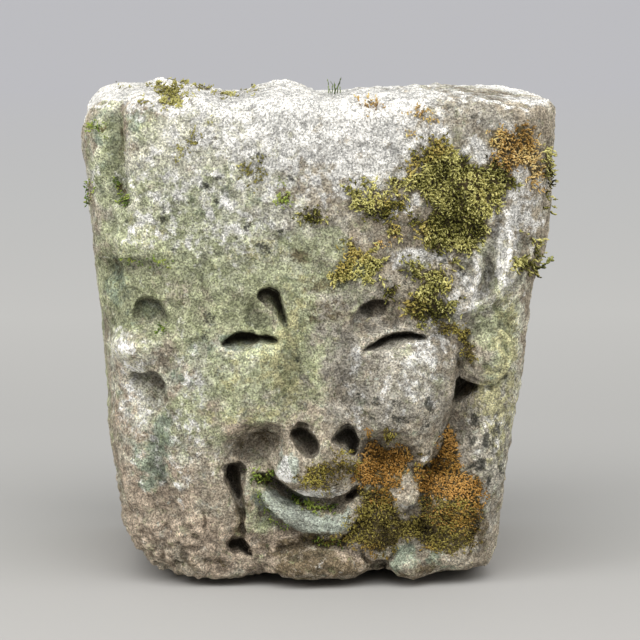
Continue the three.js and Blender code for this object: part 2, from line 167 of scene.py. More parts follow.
# every stroke is read off the frame, in pixels across and down, and cuts along the line of sight, in mm
chisel = {
    # worn places that are filled before they are cut again: across, down, reach across, reach down
    "fill": [(140, 316, 42, 32), (150, 388, 34, 31), (305, 443, 20, 20), (345, 443, 19, 20),
             (240, 542, 17, 13), (251, 341, 37, 12), (396, 340, 38, 13), (271, 303, 17, 20), (377, 305, 17, 12)],
    # hollows: a crisp rim, the foot where the floor comes out again, depth, how soon the floor rises, painted shade
    "hollow": {
        "leftBrow": ([(256.5, 297), (258, 291), (263, 287.5), (270, 286), (276, 288), (280.5, 293), (282, 301),
                      (283.5, 309), (286, 318), (289, 330)],
                     [(285, 327), (279, 317), (271, 311), (263, 305)], 21, 0.7, 0.95),
        "leftEye": ([(220, 346), (224, 340), (229, 335.5), (235, 332.5), (243, 331), (252, 331.5), (259, 334),
                     (267, 334), (273, 336), (280, 341)],
                    [(275, 343.5), (267, 344), (262, 343), (257, 347), (249, 350), (240, 351), (231, 350)], 20, 0.65, 0.95),
        "rightBrow": ([(359, 308), (365, 302), (374, 298.5), (382, 298.5), (389, 303)],
                      [(388, 312), (380, 317), (371, 318), (363, 317)], 16, 0.75, 0.75),
        "rightEye": ([(361, 351), (367, 346.5), (373, 342), (379, 338.5), (385, 335), (392, 332.5), (399, 331.5),
                      (407, 331), (414, 332), (421, 334), (428, 338.5)],
                     [(421, 342), (412, 343), (403, 345.5), (394, 348), (384, 350), (374, 352)], 19, 0.65, 0.95),
        "leftNostril": ([(290.5, 434), (293, 429), (298, 427), (304, 428), (309, 431.5), (314, 435.5), (318, 441),
                         (319, 448)], [(317, 455), (311, 457), (304, 455), (298, 449), (294, 442)], 21, 0.4, 0.8),
        "rightNostril": ([(331.5, 440), (336, 434), (343, 429.5), (348, 427), (352, 429), (356, 434), (358, 441),
                          (357, 449), (354, 457)], [(350, 453), (344, 449), (337, 445)], 20, 0.4, 0.8),
        "slot": ([(237, 499), (232, 491), (227, 481), (222.5, 473), (221.5, 467), (226, 463.5), (233, 462.5),
                  (241, 462)], [(246, 470), (245.5, 480), (243.5, 490), (240.5, 499)], 22, 0.4, 0.55),
        "beardHole": ([(228, 546), (228.5, 541), (233, 538.5), (240, 537.5), (245, 539), (249, 544), (252, 550),
                       (254, 557)], [(248, 556), (240, 553.5), (233, 551.5)], 20, 0.35, 0.9),
        "mouth": ([(262, 476), (268, 473), (274, 472.5), (280, 480), (288, 488), (297, 495), (305, 500)],
                  [(303, 505), (295, 502), (287, 497), (279, 494), (269, 491), (262, 485)], 12, 0.8, 0.45),
        "mouthEnd": ([(344, 497.5), (349, 492), (354, 488.5), (359, 488)], [(359, 494), (355, 499), (349, 500.5)],
                     14, 0.4, 0.8),
        "earPocket": ([(451, 403), (452.5, 392), (455, 382), (459, 375), (465, 373), (473, 376), (482, 380)],
                      [(478, 387), (471, 394), (462, 401)], 14, 0.8, 0.45),
        "upperHollow": ([(134, 311), (137, 303), (141, 299), (147, 297), (153, 298), (159, 301.5), (164, 307.5),
                         (167, 314), (169, 321)], [(163, 331), (150, 335), (138, 331), (130, 321)], 10, 0.9, 0.45),
        "lowerHollow": ([(130, 372), (138, 372.5), (145, 371.5), (151, 370), (157, 371), (162, 375), (166, 382),
                         (168, 390), (169, 401)], [(160, 412), (147, 410), (135, 399), (128, 384)], 13, 0.9, 0.4),
        "sideCup": ([(518, 247), (519, 240), (524, 237), (529, 240), (530, 246)], [(527, 251), (521, 252)], 4, 0.6, 0.3),
    },
    # worn lines: across, down, radius, depth
    "groove": {
        "underSlot": [(239, 496, 4, 6), (241, 505, 4.5, 3), (242.5, 518, 6, 4), (243, 530, 6, 5), (244, 538, 4, 5)],
        "dent": [(203, 512, 3.5, 2), (205, 519, 4, 5), (206, 527, 3.5, 4), (205, 532, 3, 1)],
        "chinShelf": [(282, 556, 2.5, 2), (296, 557.5, 3, 4), (310, 557, 3, 4), (320, 555, 3, 4), (333, 560, 2.5, 2)],
        "pinPits": [(142, 373.5, 1.8, 5), (147, 373, 1.8, 5)],
        "pinPit": [(137.5, 378, 1.6, 4), (140, 379.5, 1.6, 4)],
        "foldTrough": [(499, 208, 6, 1), (495, 232, 8, 5), (489, 256, 9, 7), (488, 276, 9, 7), (484, 289, 7, 5)],
        "outerTrough": [(519, 214, 5, 1), (521, 236, 6, 4), (524, 256, 6, 4), (518, 280, 7, 4), (506, 300, 7, 4),
                        (488, 312, 6, 3), (468, 322, 5, 1)],
        "lobeTrough": [(497, 331, 4, 1), (504, 343, 5, 2), (508, 356, 5, 2.5), (504, 370, 5, 2)],
        "rubble": [(163, 541, 2, 3), (170, 545, 2.4, 4), (176, 545, 2, 3)],
        "chinJoint": [(362, 546, 2.2, 4), (362, 553, 3, 7), (365, 560, 4, 9), (371, 566, 5, 10)],
        "footJoint": [(395, 552, 2.4, 4), (390, 560, 3.5, 8), (382, 567, 5, 11), (374, 573, 6, 11)],
    },
    # edges that drop away on their right-hand side and ramp out again: path with its depth, fall, ramp in pixels
    "edge": {
        "fluteWall": ([(134, 104, 1), (131, 118, 4), (133, 138, 5), (130, 156, 5), (132, 178, 4), (129, 208, 0)], 15, 36),
        "templeLedge": ([(98, 256, 3), (112, 258, 6), (126, 258, 6), (140, 256, 4), (158, 262, 3), (174, 270, 0)], 5, 30),
        "rightBrow": ([(349, 338, 0), (349.5, 325, 3), (353, 314, 4), (359, 307, 4), (366, 301, 3), (375, 298, 0)], 1.8, 28),
        "upperLip": ([(275, 446, 0), (273.5, 456, 2), (274.5, 468, 4), (280, 480, 5), (288, 488, 6), (297, 495, 5),
                      (306, 500, 2.5), (318, 503, 1.2), (332, 502, 1.2), (345, 497, 2), (356, 488, 3), (366, 480, 0)], 1.8, 15),
        "lowerLip": ([(250, 470, 0), (255, 480, 2), (260, 492, 3), (265, 501, 3), (272, 511, 3), (280, 519, 3),
                      (290, 525, 3), (300, 531, 3), (310, 538, 4), (324, 541, 5), (336, 540, 5), (344, 533, 4),
                      (353, 523, 3), (361, 512, 2), (366, 502, 0)], 2.4, 15),
        "rightCheek": ([(414, 467, 0), (428, 463, 6), (437, 443, 7), (446, 425, 7), (452, 400, 8), (455, 380, 8),
                        (456, 366, 3), (455, 350, 0)], 2.5, 26),
        "earLobe": ([(462, 375, 0), (474, 379, 5), (488, 381, 4), (500, 376, 3), (508, 367, 2), (508, 357, 1),
                     (499, 347, 3), (490, 336, 3), (478, 325, 0)], 2.2, 18),
        "lowerLedge": ([(150, 552, 0), (160, 556, 3), (180, 558, 5), (200, 557, 4), (214, 553, 0)], 2, 11),
        "chinBrow": ([(266, 548, 0), (280, 546, 3), (300, 541, 3), (318, 543, 2), (336, 546, 0)], 3, 14),
        "noseWing": ([(212, 444, 0), (222, 446, 3), (238, 440, 3), (250, 432, 4), (262, 427, 4), (274, 430, 3),
                      (286, 436, 0)], 12, 28),
    },
    # raised folds: across, down, half width, height
    "fold": {
        "outer": [(507, 210, 6, 1), (511, 238, 7, 5), (509, 266, 8, 6), (501, 288, 8, 6), (489, 300, 7, 5),
                  (474, 306, 6, 3), (460, 313, 5, 1)],
        "inner": [(473, 244, 6, 1), (478, 264, 7, 5), (476, 285, 7, 5), (467, 304, 6, 4), (452, 317, 5, 1)],
    },
    # low swellings: across, down, reach across, reach down, height
    "swelling": [(317, 480, 46, 24, 3.5), (300, 515, 40, 18, 2.5), (312, 566, 56, 16, 4), (411, 564, 24, 17, 7),
                 (405, 395, 56, 50, 3.5), (128, 347, 34, 24, 3), (176, 540, 22, 14, 3.5), (483, 354, 26, 28, 4),
                 (500, 276, 12, 22, 3), (240, 372, 52, 30, 2.5), (228, 424, 30, 20, 2.5), (140, 235, 34, 22, 3),
                 (432, 515, 24, 20, 3), (408, 500, 16, 12, 3), (93, 172, 12, 30, 3), (320, 380, 26, 50, 2.5)],
    # the lowest line that the front shows, as its lower edge is worn back and hangs clear of the floor
    "hem": [(120, 545), (128, 548), (136, 553), (150, 564), (165, 572.5), (180, 576.5), (200, 579), (230, 579),
            (250, 576), (268, 572), (280, 576), (290, 579), (330, 580), (345, 579.5), (358, 575), (366, 570),
            (380, 569.5), (392, 571), (400, 577), (412, 580.5), (425, 579), (434, 574), (450, 572), (470, 570),
            (486, 565), (494, 554), (500, 540)],
    "crisp": 1.2,  # pixels in which a rim falls
    "hemDepth": 9,  # pixels above that line in which it curls under
}


def alongPath(spots, path):
    # distance to a path, the side of it (right-hand is positive) and the path's further values at the nearest place
    path = np.array(path, float)
    nearest = np.full(len(spots), 1e9)
    side = np.zeros(len(spots))
    values = np.zeros((len(spots), path.shape[1] - 2))
    for start, end in zip(path[:-1], path[1:]):
        run = end[:2] - start[:2]
        away = spots - start[:2]
        share = np.clip(away @ run / (run @ run), 0, 1)
        gap = np.hypot(*(away - share[:, None] * run).T)
        closer = gap < nearest - 1e-9
        nearest[closer] = gap[closer]
        side[closer] = np.sign(run[0] * away[closer, 1] - run[1] * away[closer, 0])
        values[closer] = start[2:] + share[closer, None] * (end[2:] - start[2:])
    return nearest, side, values


def insideOutline(spots, outline):
    inside = np.zeros(len(spots), bool)
    for (x0, y0), (x1, y1) in zip(outline, outline[1:] + outline[:1]):
        if y0 != y1:
            crosses = (y0 > spots[:, 1]) != (y1 > spots[:, 1])
            inside ^= crosses & (spots[:, 0] < x0 + (spots[:, 1] - y0) * (x1 - x0) / (y1 - y0))
    return inside


def cutDepths(spots):  # depth of the hollows and the worn edges at each place of the frame in mm, and the painted shade in the hollows
    drilled, paintedHoleShade = np.zeros(len(spots)), np.zeros(len(spots))
    for rim, foot, depth, rise, holeShadeStrength in chisel["hollow"].values():
        outline = rim + foot
        (left, top), (right, bottom) = np.min(outline, 0), np.max(outline, 0)
        close = (spots[:, 0] > left) & (spots[:, 0] < right) & (spots[:, 1] > top) & (spots[:, 1] < bottom)
        toRim = alongPath(spots[close], rim)[0]
        toFoot = alongPath(spots[close], rim[-1:] + foot + rim[:1])[0]
        floorDepth = (toFoot / np.maximum(toRim + toFoot, 1e-6)) ** rise * smoothStep(0, chisel["crisp"], toRim)
        floorDepth *= insideOutline(spots[close], outline)
        drilled[close] = np.maximum(drilled[close], depth * floorDepth)
        # painted shade: the deeper part of each hollow is marked to be darkened
        paintedHoleShade[close] = np.maximum(paintedHoleShade[close], holeShadeStrength * smoothStep(0.35, 0.8, floorDepth))
    for path in chisel["groove"].values():
        gap, side, own = alongPath(spots, path)
        drilled = np.maximum(drilled, own[:, 1] * (1 - smoothStep(0.1, 1.0, gap / own[:, 0])))
    dropped = np.zeros(len(spots))
    for path, fallWidth, ramp in chisel["edge"].values():
        gap, side, own = alongPath(spots, path)
        fall = smoothStep(0, fallWidth, gap * side) * (1 - smoothStep(0.1, 1.0, gap / ramp))
        dropped = np.maximum(dropped, own[:, 0] * fall)
    for path in chisel["fold"].values():
        gap, side, own = alongPath(spots, path)
        dropped -= own[:, 1] * (1 - smoothStep(0.1, 1.0, gap / own[:, 0]))
    for x, y, across, down, height in chisel["swelling"]:
        far = np.hypot((spots[:, 0] - x) / across, (spots[:, 1] - y) / down)
        dropped -= height * (1 - smoothStep(0.1, 1.0, far))
    return drilled, dropped, paintedHoleShade


def sightRays(places):
    rays = places - eye
    return rays / np.linalg.norm(rays, axis=1)[:, None]


def liftHem(places):  # the front's lower edge is worn back, so it rises clear of the floor
    spots = frameSpots(places)
    hem = np.array(chisel["hem"], float)
    start = np.interp(spots[:, 0], hem[:, 0], hem[:, 1]) - chisel["hemDepth"]
    over = np.maximum(spots[:, 1] - start, 0)
    kept = chisel["hemDepth"] * (1 - np.exp(-over / chisel["hemDepth"]))
    front = smoothStep(-0.08, -0.16, places[:, 1])
    places[:, 2] += (over - kept) * pixel * front
    return places


def carve(block):
    mesh = block.data
    ends = edgeEnds(mesh)
    places = eased(points(mesh), ends, stoneSizes["easing"])
    spots, rays = frameSpots(places), sightRays(places)
    seen = smoothStep(0.02, 0.3, -(normals(mesh) * rays).sum(1))
    worn = np.zeros(len(places), bool)
    for x, y, across, down in chisel["fill"]:
        worn |= (np.hypot((spots[:, 0] - x) / across, (spots[:, 1] - y) / down) < 1) & (places[:, 1] < -0.08)
    near = worn[ends].any(1)
    touched, packed = np.unique(ends[near], return_inverse=True)
    patch, patchEnds, inside = places[touched], packed.reshape(-1, 2), worn[touched]
    for turn in range(stoneSizes["filling"]):  # a skin stretched across each worn place
        patch[inside] = neighbourMean(patch, patchEnds)[inside]
    places[touched] = patch
    putPoints(mesh, places)
    places = eased(places, ends, 3)
    spots, rays = frameSpots(places), sightRays(places)
    seen = smoothStep(0.02, 0.3, -(normals(mesh) * rays).sum(1))
    drilled, dropped, paintedHoleShade = cutDepths(spots)
    places = places + rays * ((drilled + dropped) * seen / 1000)[:, None]
    putPoints(mesh, liftHem(places))


stone = roughBlock(cadCorbel)
carve(stone)
applyModifier(stone, "REMESH", mode="VOXEL", voxel_size=stoneSizes["lastVoxel"], adaptivity=0)
putPoints(stone.data, eased(points(stone.data), edgeEnds(stone.data), 1))
print("stage: block carved,", len(stone.data.polygons), "faces")

# the weather's work, coarse to fine; the sizes of the forms and how far they stand are in metres
weathering = [
    {"name": "slump", "kind": "CLOUDS", "size": 0.075, "height": 0.0042},
    {"name": "lumps", "kind": "CLOUDS", "size": 0.022, "height": 0.0032},
    {"name": "pits", "kind": "STUCCI", "size": 0.0085, "height": 0.0018},
    {"name": "grit", "kind": "CLOUDS", "size": 0.0042, "height": 0.0019},
    {"name": "rubble", "kind": "CLOUDS", "size": 0.014, "height": 0.012},
    {"name": "rubblePits", "kind": "STUCCI", "size": 0.007, "height": 0.0042},
]
# the parts that are worn down to rubble: across, down, reach across, reach down, strength
rubbleParts = [(180, 548, 80, 42, 1), (150, 500, 50, 50, 0.4), (262, 530, 34, 34, 0.6), (240, 560, 60, 26, 0.8),
               (312, 566, 56, 18, 0.5), (488, 450, 26, 90, 0.6), (440, 560, 60, 16, 0.5), (440, 270, 60, 50, 0.35),
               (410, 506, 18, 14, 0.8), (500, 300, 30, 60, 0.3), (430, 460, 60, 60, 0.3), (105, 450, 24, 90, 0.3)]


def weather(block):
    mesh = block.data
    places = points(mesh)
    rough = block.vertex_groups.new(name="rough")
    worn = 1 - smoothStep(-0.012, -0.001, places[:, 1])
    worn = worn * smoothStep(-0.1945, -0.186, places[:, 2])
    spots = frameSpots(places)
    broken = np.zeros(len(places))
    for x, y, across, down, strength in rubbleParts:
        far = np.hypot((spots[:, 0] - x) / across, (spots[:, 1] - y) / down)
        broken = np.maximum(broken, strength * (1 - smoothStep(0.4, 1.1, far)) * (places[:, 1] < -0.1))
    rubble = block.vertex_groups.new(name="rubble")
    for group, shares in ((rough, np.round(worn, 2)), (rubble, np.round(worn * broken, 2))):
        for share in np.unique(shares):
            if share > 0:
                group.add(np.nonzero(shares == share)[0].tolist(), float(share), "REPLACE")
    for layer in weathering:
        texture = bpy.data.textures.new(layer["name"], layer["kind"])
        texture.noise_scale = layer["size"]
        applyModifier(block, "DISPLACE", texture=texture, strength=layer["height"], mid_level=0.5,
                      texture_coords="LOCAL", vertex_group="rubble" if "rubble" in layer["name"] else "rough")
    block.vertex_groups.clear()


weather(stone)


def thinTo(block, wanted, kept):  # collapses faces until the count is right, and none of the kept points
    plain = block.vertex_groups.new(name="plain")
    plain.add(np.nonzero(~kept)[0].tolist(), 1.0, "REPLACE")
    plain.add(np.nonzero(kept)[0].tolist(), 0.0, "REPLACE")
    triangles = sum(len(face.vertices) - 2 for face in block.data.polygons)
    applyModifier(block, "DECIMATE", ratio=min(1.0, wanted / triangles), use_collapse_triangulate=True,
                  vertex_group="plain", vertex_group_factor=0.02)
    block.vertex_groups.clear()


def thin(block):  # the front keeps its fine mesh, its carved places above all, and the plain sides pay for it
    mesh = block.data
    places = points(mesh)
    shown = (-(normals(mesh) * sightRays(places)).sum(1) > 0.12) & (places[:, 1] < -0.02)
    sizes = np.array([len(face.vertices) - 2 for face in mesh.polygons])
    corners = np.array([shown[face.vertices[0]] for face in mesh.polygons])
    thinTo(block, int(sizes[corners].sum()) + stoneSizes["plainTriangles"], shown)
    places = points(mesh)
    drilled, dropped, paintedHoleShade = cutDepths(frameSpots(places))
    thinTo(block, stoneSizes["triangles"], ((drilled > 0.3) | (dropped > 2.5)) & (places[:, 1] < -0.1))


thin(stone)
only(stone)
bpy.ops.object.shade_smooth()
print("stage: block weathered,", len(stone.data.polygons), "triangles")

stoneTree = BVHTree.FromObject(stone, bpy.context.evaluated_depsgraph_get())


def sightLine(x, y):  # direction from the camera through one place of the frame
    ray = eyeAxes @ np.array([(x - middle[0]) / focal, (middle[1] - y) / focal, -1.0])
    return Vector(ray / np.linalg.norm(ray))


def onStone(x, y):  # the place and normal of the stone seen at one place of the frame
    return stoneTree.ray_cast(Vector(eye), sightLine(x, y))[:2]


# moss: outlines read off the frame, and how much of each is covered
mossBeds = {
    "leafMoss": {  # yellow-green cushions of curled cord-like shoots, 5 to 8 mm long
        "spacing": 1.8, "length": (3.2, 6.8), "girth": 0.18, "lean": (0, 55), "seed": 11, "faces": (4, 6),
        "colours": ("201e0e", "7a7734", "e4de92"), "aged": "c2a656",
        "beds": [
            ([(428, 139), (436, 137), (447, 141), (449, 150), (455, 154), (462, 160), (470, 166), (482, 166),
              (488, 160), (495, 158), (500, 163), (507, 170), (514, 180), (517, 188), (508, 190), (503, 200),
              (500, 206), (492, 210), (486, 218), (490, 228), (488, 236), (480, 238), (478, 250), (466, 254),
              (456, 248), (450, 246), (441, 252), (432, 252), (424, 243), (417, 232), (419, 222), (430, 217),
              (436, 206), (424, 200), (418, 190), (409, 186), (405, 176), (404, 166), (410, 166), (416, 172),
              (422, 164), (409, 160), (412, 152), (424, 154), (426, 146)], 0.95),
            ([(352, 190), (358, 194), (370, 197), (380, 199), (388, 205), (386, 214), (376, 216), (366, 214),
              (358, 208), (352, 206)], 0.6),
            ([(352, 184), (362, 180), (374, 183), (384, 190), (396, 188), (404, 196), (404, 212), (396, 222),
              (384, 220), (374, 224), (362, 216), (354, 206)], 0.4),
            ([(335, 258), (346, 250), (360, 248), (372, 254), (384, 262), (380, 276), (366, 284), (350, 282),
              (338, 278)], 0.35),
            ([(391, 178), (399, 177), (402, 186), (400, 196), (394, 194), (391, 186)], 0.8),
            ([(384, 202), (402, 199), (407, 205), (398, 209), (384, 211)], 0.75),
            ([(384, 214), (392, 218), (400, 228), (402, 238), (390, 237), (384, 226)], 0.65),
            ([(345, 182), (352, 187), (354, 196), (349, 194)], 0.6),
            ([(363, 179), (370, 177), (371, 184), (364, 187)], 0.6),
            ([(348, 238), (353, 244), (360, 250), (364, 257), (372, 258), (382, 266), (376, 274), (370, 280),
              (362, 278), (366, 268), (360, 262), (352, 256), (347, 248)], 0.85),
            ([(371, 243), (376, 243), (376, 252), (370, 253)], 0.8),
            ([(336, 270), (343, 262), (348, 258), (352, 262), (354, 272), (348, 278), (340, 282), (331, 285),
              (330, 276)], 0.9),
            ([(384, 287), (398, 284), (398, 294), (388, 298)], 0.7),
            ([(400, 252), (412, 258), (416, 270), (406, 276), (398, 264)], 0.35),
            ([(452, 296), (462, 300), (460, 314), (450, 312)], 0.4),
            ([(404, 210), (414, 214), (418, 226), (408, 226)], 0.4),
            ([(416, 262), (420, 260), (424, 272), (432, 267), (446, 272), (447, 280), (454, 286), (450, 293),
              (441, 291), (437, 298), (446, 303), (450, 312), (442, 319), (432, 317), (428, 325), (418, 323),
              (406, 313), (402, 301), (411, 299), (416, 292), (422, 284), (414, 276)], 0.85),
            ([(444, 258), (456, 257), (458, 264), (448, 266)], 0.7),
            ([(296, 217), (304, 214), (312, 210), (319, 208), (322, 216), (320, 224), (313, 225), (305, 220)], 0.75),
            ([(257, 157), (264, 156), (264, 163), (259, 166)], 0.7),
            ([(544, 150), (548, 145), (553, 148), (552, 158), (558, 158), (554, 170), (551, 181), (545, 181),
              (543, 168)], 0.85),
            ([(547, 182), (550, 184), (547, 198), (546, 212), (543, 210), (545, 196)], 0.5),
            ([(511, 258), (518, 256), (530, 258), (538, 263), (534, 270), (522, 273), (513, 268)], 0.8),
            ([(520, 234), (528, 231), (537, 239), (541, 240), (541, 252), (535, 254), (534, 245), (528, 238)], 0.75),
        ],
    },
    "topMoss": {  # the same growth worn flat on top of the block
        "spacing": 1.15, "length": (2.2, 4.4), "girth": 0.2, "lean": (0, 14), "seed": 17, "faces": (4, 5),
        "colours": ("46421c", "8f8844", "cdc880"), "aged": "a59a5a",
        "beds": [
            ([(152, 86), (158, 83), (166, 85), (172, 88), (181, 90), (178, 94), (191, 96), (183, 99), (180, 104),
              (173, 107), (162, 105), (156, 102), (166, 98), (164, 94), (158, 91)], 1.0),
            ([(166, 79), (176, 77), (190, 78), (200, 80), (206, 84), (213, 89), (210, 93), (200, 88), (188, 85),
              (178, 84)], 0.8),
            ([(218, 92), (226, 91), (234, 92), (232, 96), (222, 96)], 0.9),
            ([(240, 87), (252, 85), (262, 88), (258, 92), (244, 92)], 0.25),
            ([(120, 84), (126, 87), (127, 90), (122, 88)], 0.9),
            ([(138, 98), (147, 101), (148, 105), (140, 102)], 0.9),
            ([(191, 130), (196, 133), (197, 137), (190, 144), (184, 150), (179, 156), (176, 153), (181, 148),
              (189, 143), (190, 137)], 0.7),
            ([(240, 166), (250, 166), (264, 168), (262, 176), (250, 174), (242, 176)], 0.3),
            ([(204, 120), (209, 120), (209, 126), (204, 126)], 0.3),
            ([(246, 182), (252, 182), (251, 190), (247, 190)], 0.4),
        ],
    },
    "rustMoss": {  # the same growth dried to gold and brown
        "spacing": 1.6, "length": (2.4, 5.0), "girth": 0.18, "lean": (5, 60), "seed": 23, "faces": (4, 6),
        "colours": ("775c2e", "cfa65c", "f7e2a4"), "aged": "d6cb78",
        "beds": [
            ([(490, 131), (499, 127), (510, 132), (516, 126), (524, 124), (530, 130), (534, 142), (538, 150),
              (541, 160), (541, 172), (538, 180), (542, 188), (537, 190), (530, 180), (527, 168), (520, 166),
              (512, 172), (500, 168), (495, 160), (494, 150), (488, 142)], 0.8),
            ([(361, 102), (370, 99), (381, 103), (378, 110), (368, 112)], 0.6),
            ([(404, 110), (418, 107), (432, 113), (438, 119), (430, 119), (416, 116)], 0.5),
            ([(407, 133), (417, 133), (417, 137), (409, 137)], 0.5),
            ([(376, 240), (398, 240), (398, 244), (378, 244)], 0.3),
        ],
    },
    "amberMoss": {  # close short growth like velvet, dried to amber
        "spacing": 1.25, "length": (1.6, 3.4), "girth": 0.24, "lean": (15, 80), "seed": 29, "faces": (4, 4),
        "colours": ("5c4319", "a97c36", "dfb268"), "aged": "ab9340",
        "beds": [
            ([(368, 428), (373, 440), (384, 448), (394, 446), (404, 446), (411, 455), (408, 466), (404, 477),
              (398, 488), (386, 491), (376, 485), (364, 487), (353, 480), (356, 468), (360, 458), (366, 446)], 0.95),
            ([(447, 427), (454, 429), (459, 440), (459, 456), (461, 470), (470, 477), (478, 476), (483, 488),
              (481, 506), (474, 518), (462, 508), (446, 500), (428, 497), (417, 490), (413, 478), (418, 466),
              (428, 465), (437, 457), (440, 443)], 0.95),
            ([(420, 497), (440, 500), (462, 508), (476, 516), (474, 530), (456, 532), (436, 524), (424, 512)], 0.3),
            ([(372, 486), (392, 490), (398, 502), (384, 508), (370, 500)], 0.35),
        ],
    },
    "oliveMoss": {  # a close dark olive carpet
        "spacing": 1.45, "length": (1.8, 4.2), "girth": 0.2, "lean": (5, 75), "seed": 37, "faces": (4, 4),
        "colours": ("1d1a0b", "60552a", "b0a355"), "aged": "a07434",
        "beds": [
            ([(436, 324), (446, 321), (460, 326), (470, 330), (466, 336), (452, 334), (440, 332)], 1.0),
            ([(460, 334), (468, 336), (474, 350), (474, 360), (468, 358), (464, 346)], 1.0),
            ([(360, 489), (376, 487), (392, 492), (396, 512), (406, 520), (420, 516), (420, 496), (436, 497),
              (452, 500), (470, 497), (478, 512), (476, 530), (477, 541), (466, 549), (450, 554), (432, 552),
              (424, 548), (418, 539), (402, 538), (388, 552), (372, 551), (358, 545), (344, 542), (330, 545),
              (314, 541), (304, 537), (322, 540), (338, 537), (349, 528), (357, 519), (361, 510)], 0.9),
            ([(305, 474), (316, 464), (332, 462), (346, 460), (354, 464), (350, 474), (340, 482), (326, 488),
              (314, 486)], 0.5),
        ],
    },
    "goldMoss": {  # short yellow growth on the lip and beside the nose
        "spacing": 1.4, "length": (1.8, 3.6), "girth": 0.2, "lean": (10, 70), "seed": 43, "faces": (4, 4),
        "colours": ("3b3212", "8b7d30", "cbbf66"), "aged": "ab863c",
        "beds": [
            ([(297, 480), (304, 472), (312, 464), (324, 462), (330, 468), (328, 478), (320, 488), (306, 486)], 0.8),
            ([(382, 431), (391, 430), (397, 436), (394, 443), (385, 443)], 0.8),
            ([(332, 452), (348, 453), (362, 462), (356, 474), (344, 470), (334, 462)], 0.45),
            ([(350, 512), (360, 505), (364, 514), (358, 526), (348, 532), (342, 528)], 0.5),
            ([(420, 452), (430, 462), (430, 476), (418, 478), (412, 468)], 0.3),
        ],
    },
    "greenMoss": {  # fresh green growth in damp corners
        "spacing": 1.4, "length": (1.8, 4.0), "girth": 0.2, "lean": (5, 60), "seed": 41, "faces": (4, 5),
        "colours": ("303c17", "6b8834", "bac964"), "aged": "a5a552",
        "beds": [
            ([(250, 472), (257, 470), (264, 474), (270, 469), (275, 472), (272, 480), (268, 485), (258, 484),
              (252, 478)], 1.0),
            ([(290, 495), (304, 501), (314, 505), (328, 505), (338, 503), (331, 511), (316, 513), (302, 510)], 1.0),
            ([(276, 198), (282, 193), (288, 194), (291, 200), (288, 205), (278, 205)], 1.0),
            ([(281, 182), (285, 182), (285, 190), (282, 190)], 0.6),
            ([(117, 178), (121, 181), (125, 190), (129, 197), (127, 205), (124, 208), (121, 198), (117, 188)], 0.9),
            ([(84, 180), (91, 181), (93, 200), (89, 206), (84, 198)], 0.9),
            ([(84, 122), (95, 122), (105, 127), (105, 134), (94, 130), (84, 130)], 0.6),
            ([(126, 258), (134, 256), (139, 260), (136, 264), (128, 262)], 0.6),
            ([(144, 258), (160, 257), (161, 262), (150, 263)], 0.4),
            ([(160, 262), (170, 262), (172, 268), (166, 271)], 0.5),
            ([(159, 325), (166, 323), (168, 330), (162, 334)], 0.6),
            ([(253, 480), (258, 488), (263, 500), (271, 510), (279, 519), (284, 528), (278, 527), (268, 514),
              (259, 500), (254, 490)], 0.35),
            ([(316, 538), (330, 541), (344, 538), (350, 544), (334, 547), (318, 544)], 0.5),
        ],
    },
    "edgeSprig": {  # one runner that has grown out past the right edge
        "root": (531, 268), "girth": 0.3, "faces": (5, 7), "seed": 53, "colours": ("33351c", "6d7038", "a3a566"), "aged": "8d7d46",
        "runners": [[(531, 268), (536, 269), (541, 267), (545, 264), (549, 262), (552, 257)], [(540, 267), (545, 268)],
                    [(546, 263), (549, 258)], [(549, 261), (553, 261)]],
    },
    "topGrass": {  # a tuft of young grass rooted in the top
        "root": (334, 95), "girth": 0.09, "faces": (4, 7), "seed": 59, "colours": ("39442a", "66744a", "97a377"), "aged": "8c8a5c",
        "runners": [[(329, 94), (329, 86), (328, 80)], [(332, 94), (333, 86), (331, 82)], [(335, 95), (335, 84)],
                    [(337, 94), (338, 86), (341, 79)], [(340, 94), (340, 87)], [(334, 94), (337, 88), (340, 84)],
                    [(331, 94), (330, 89)]],
    },
}

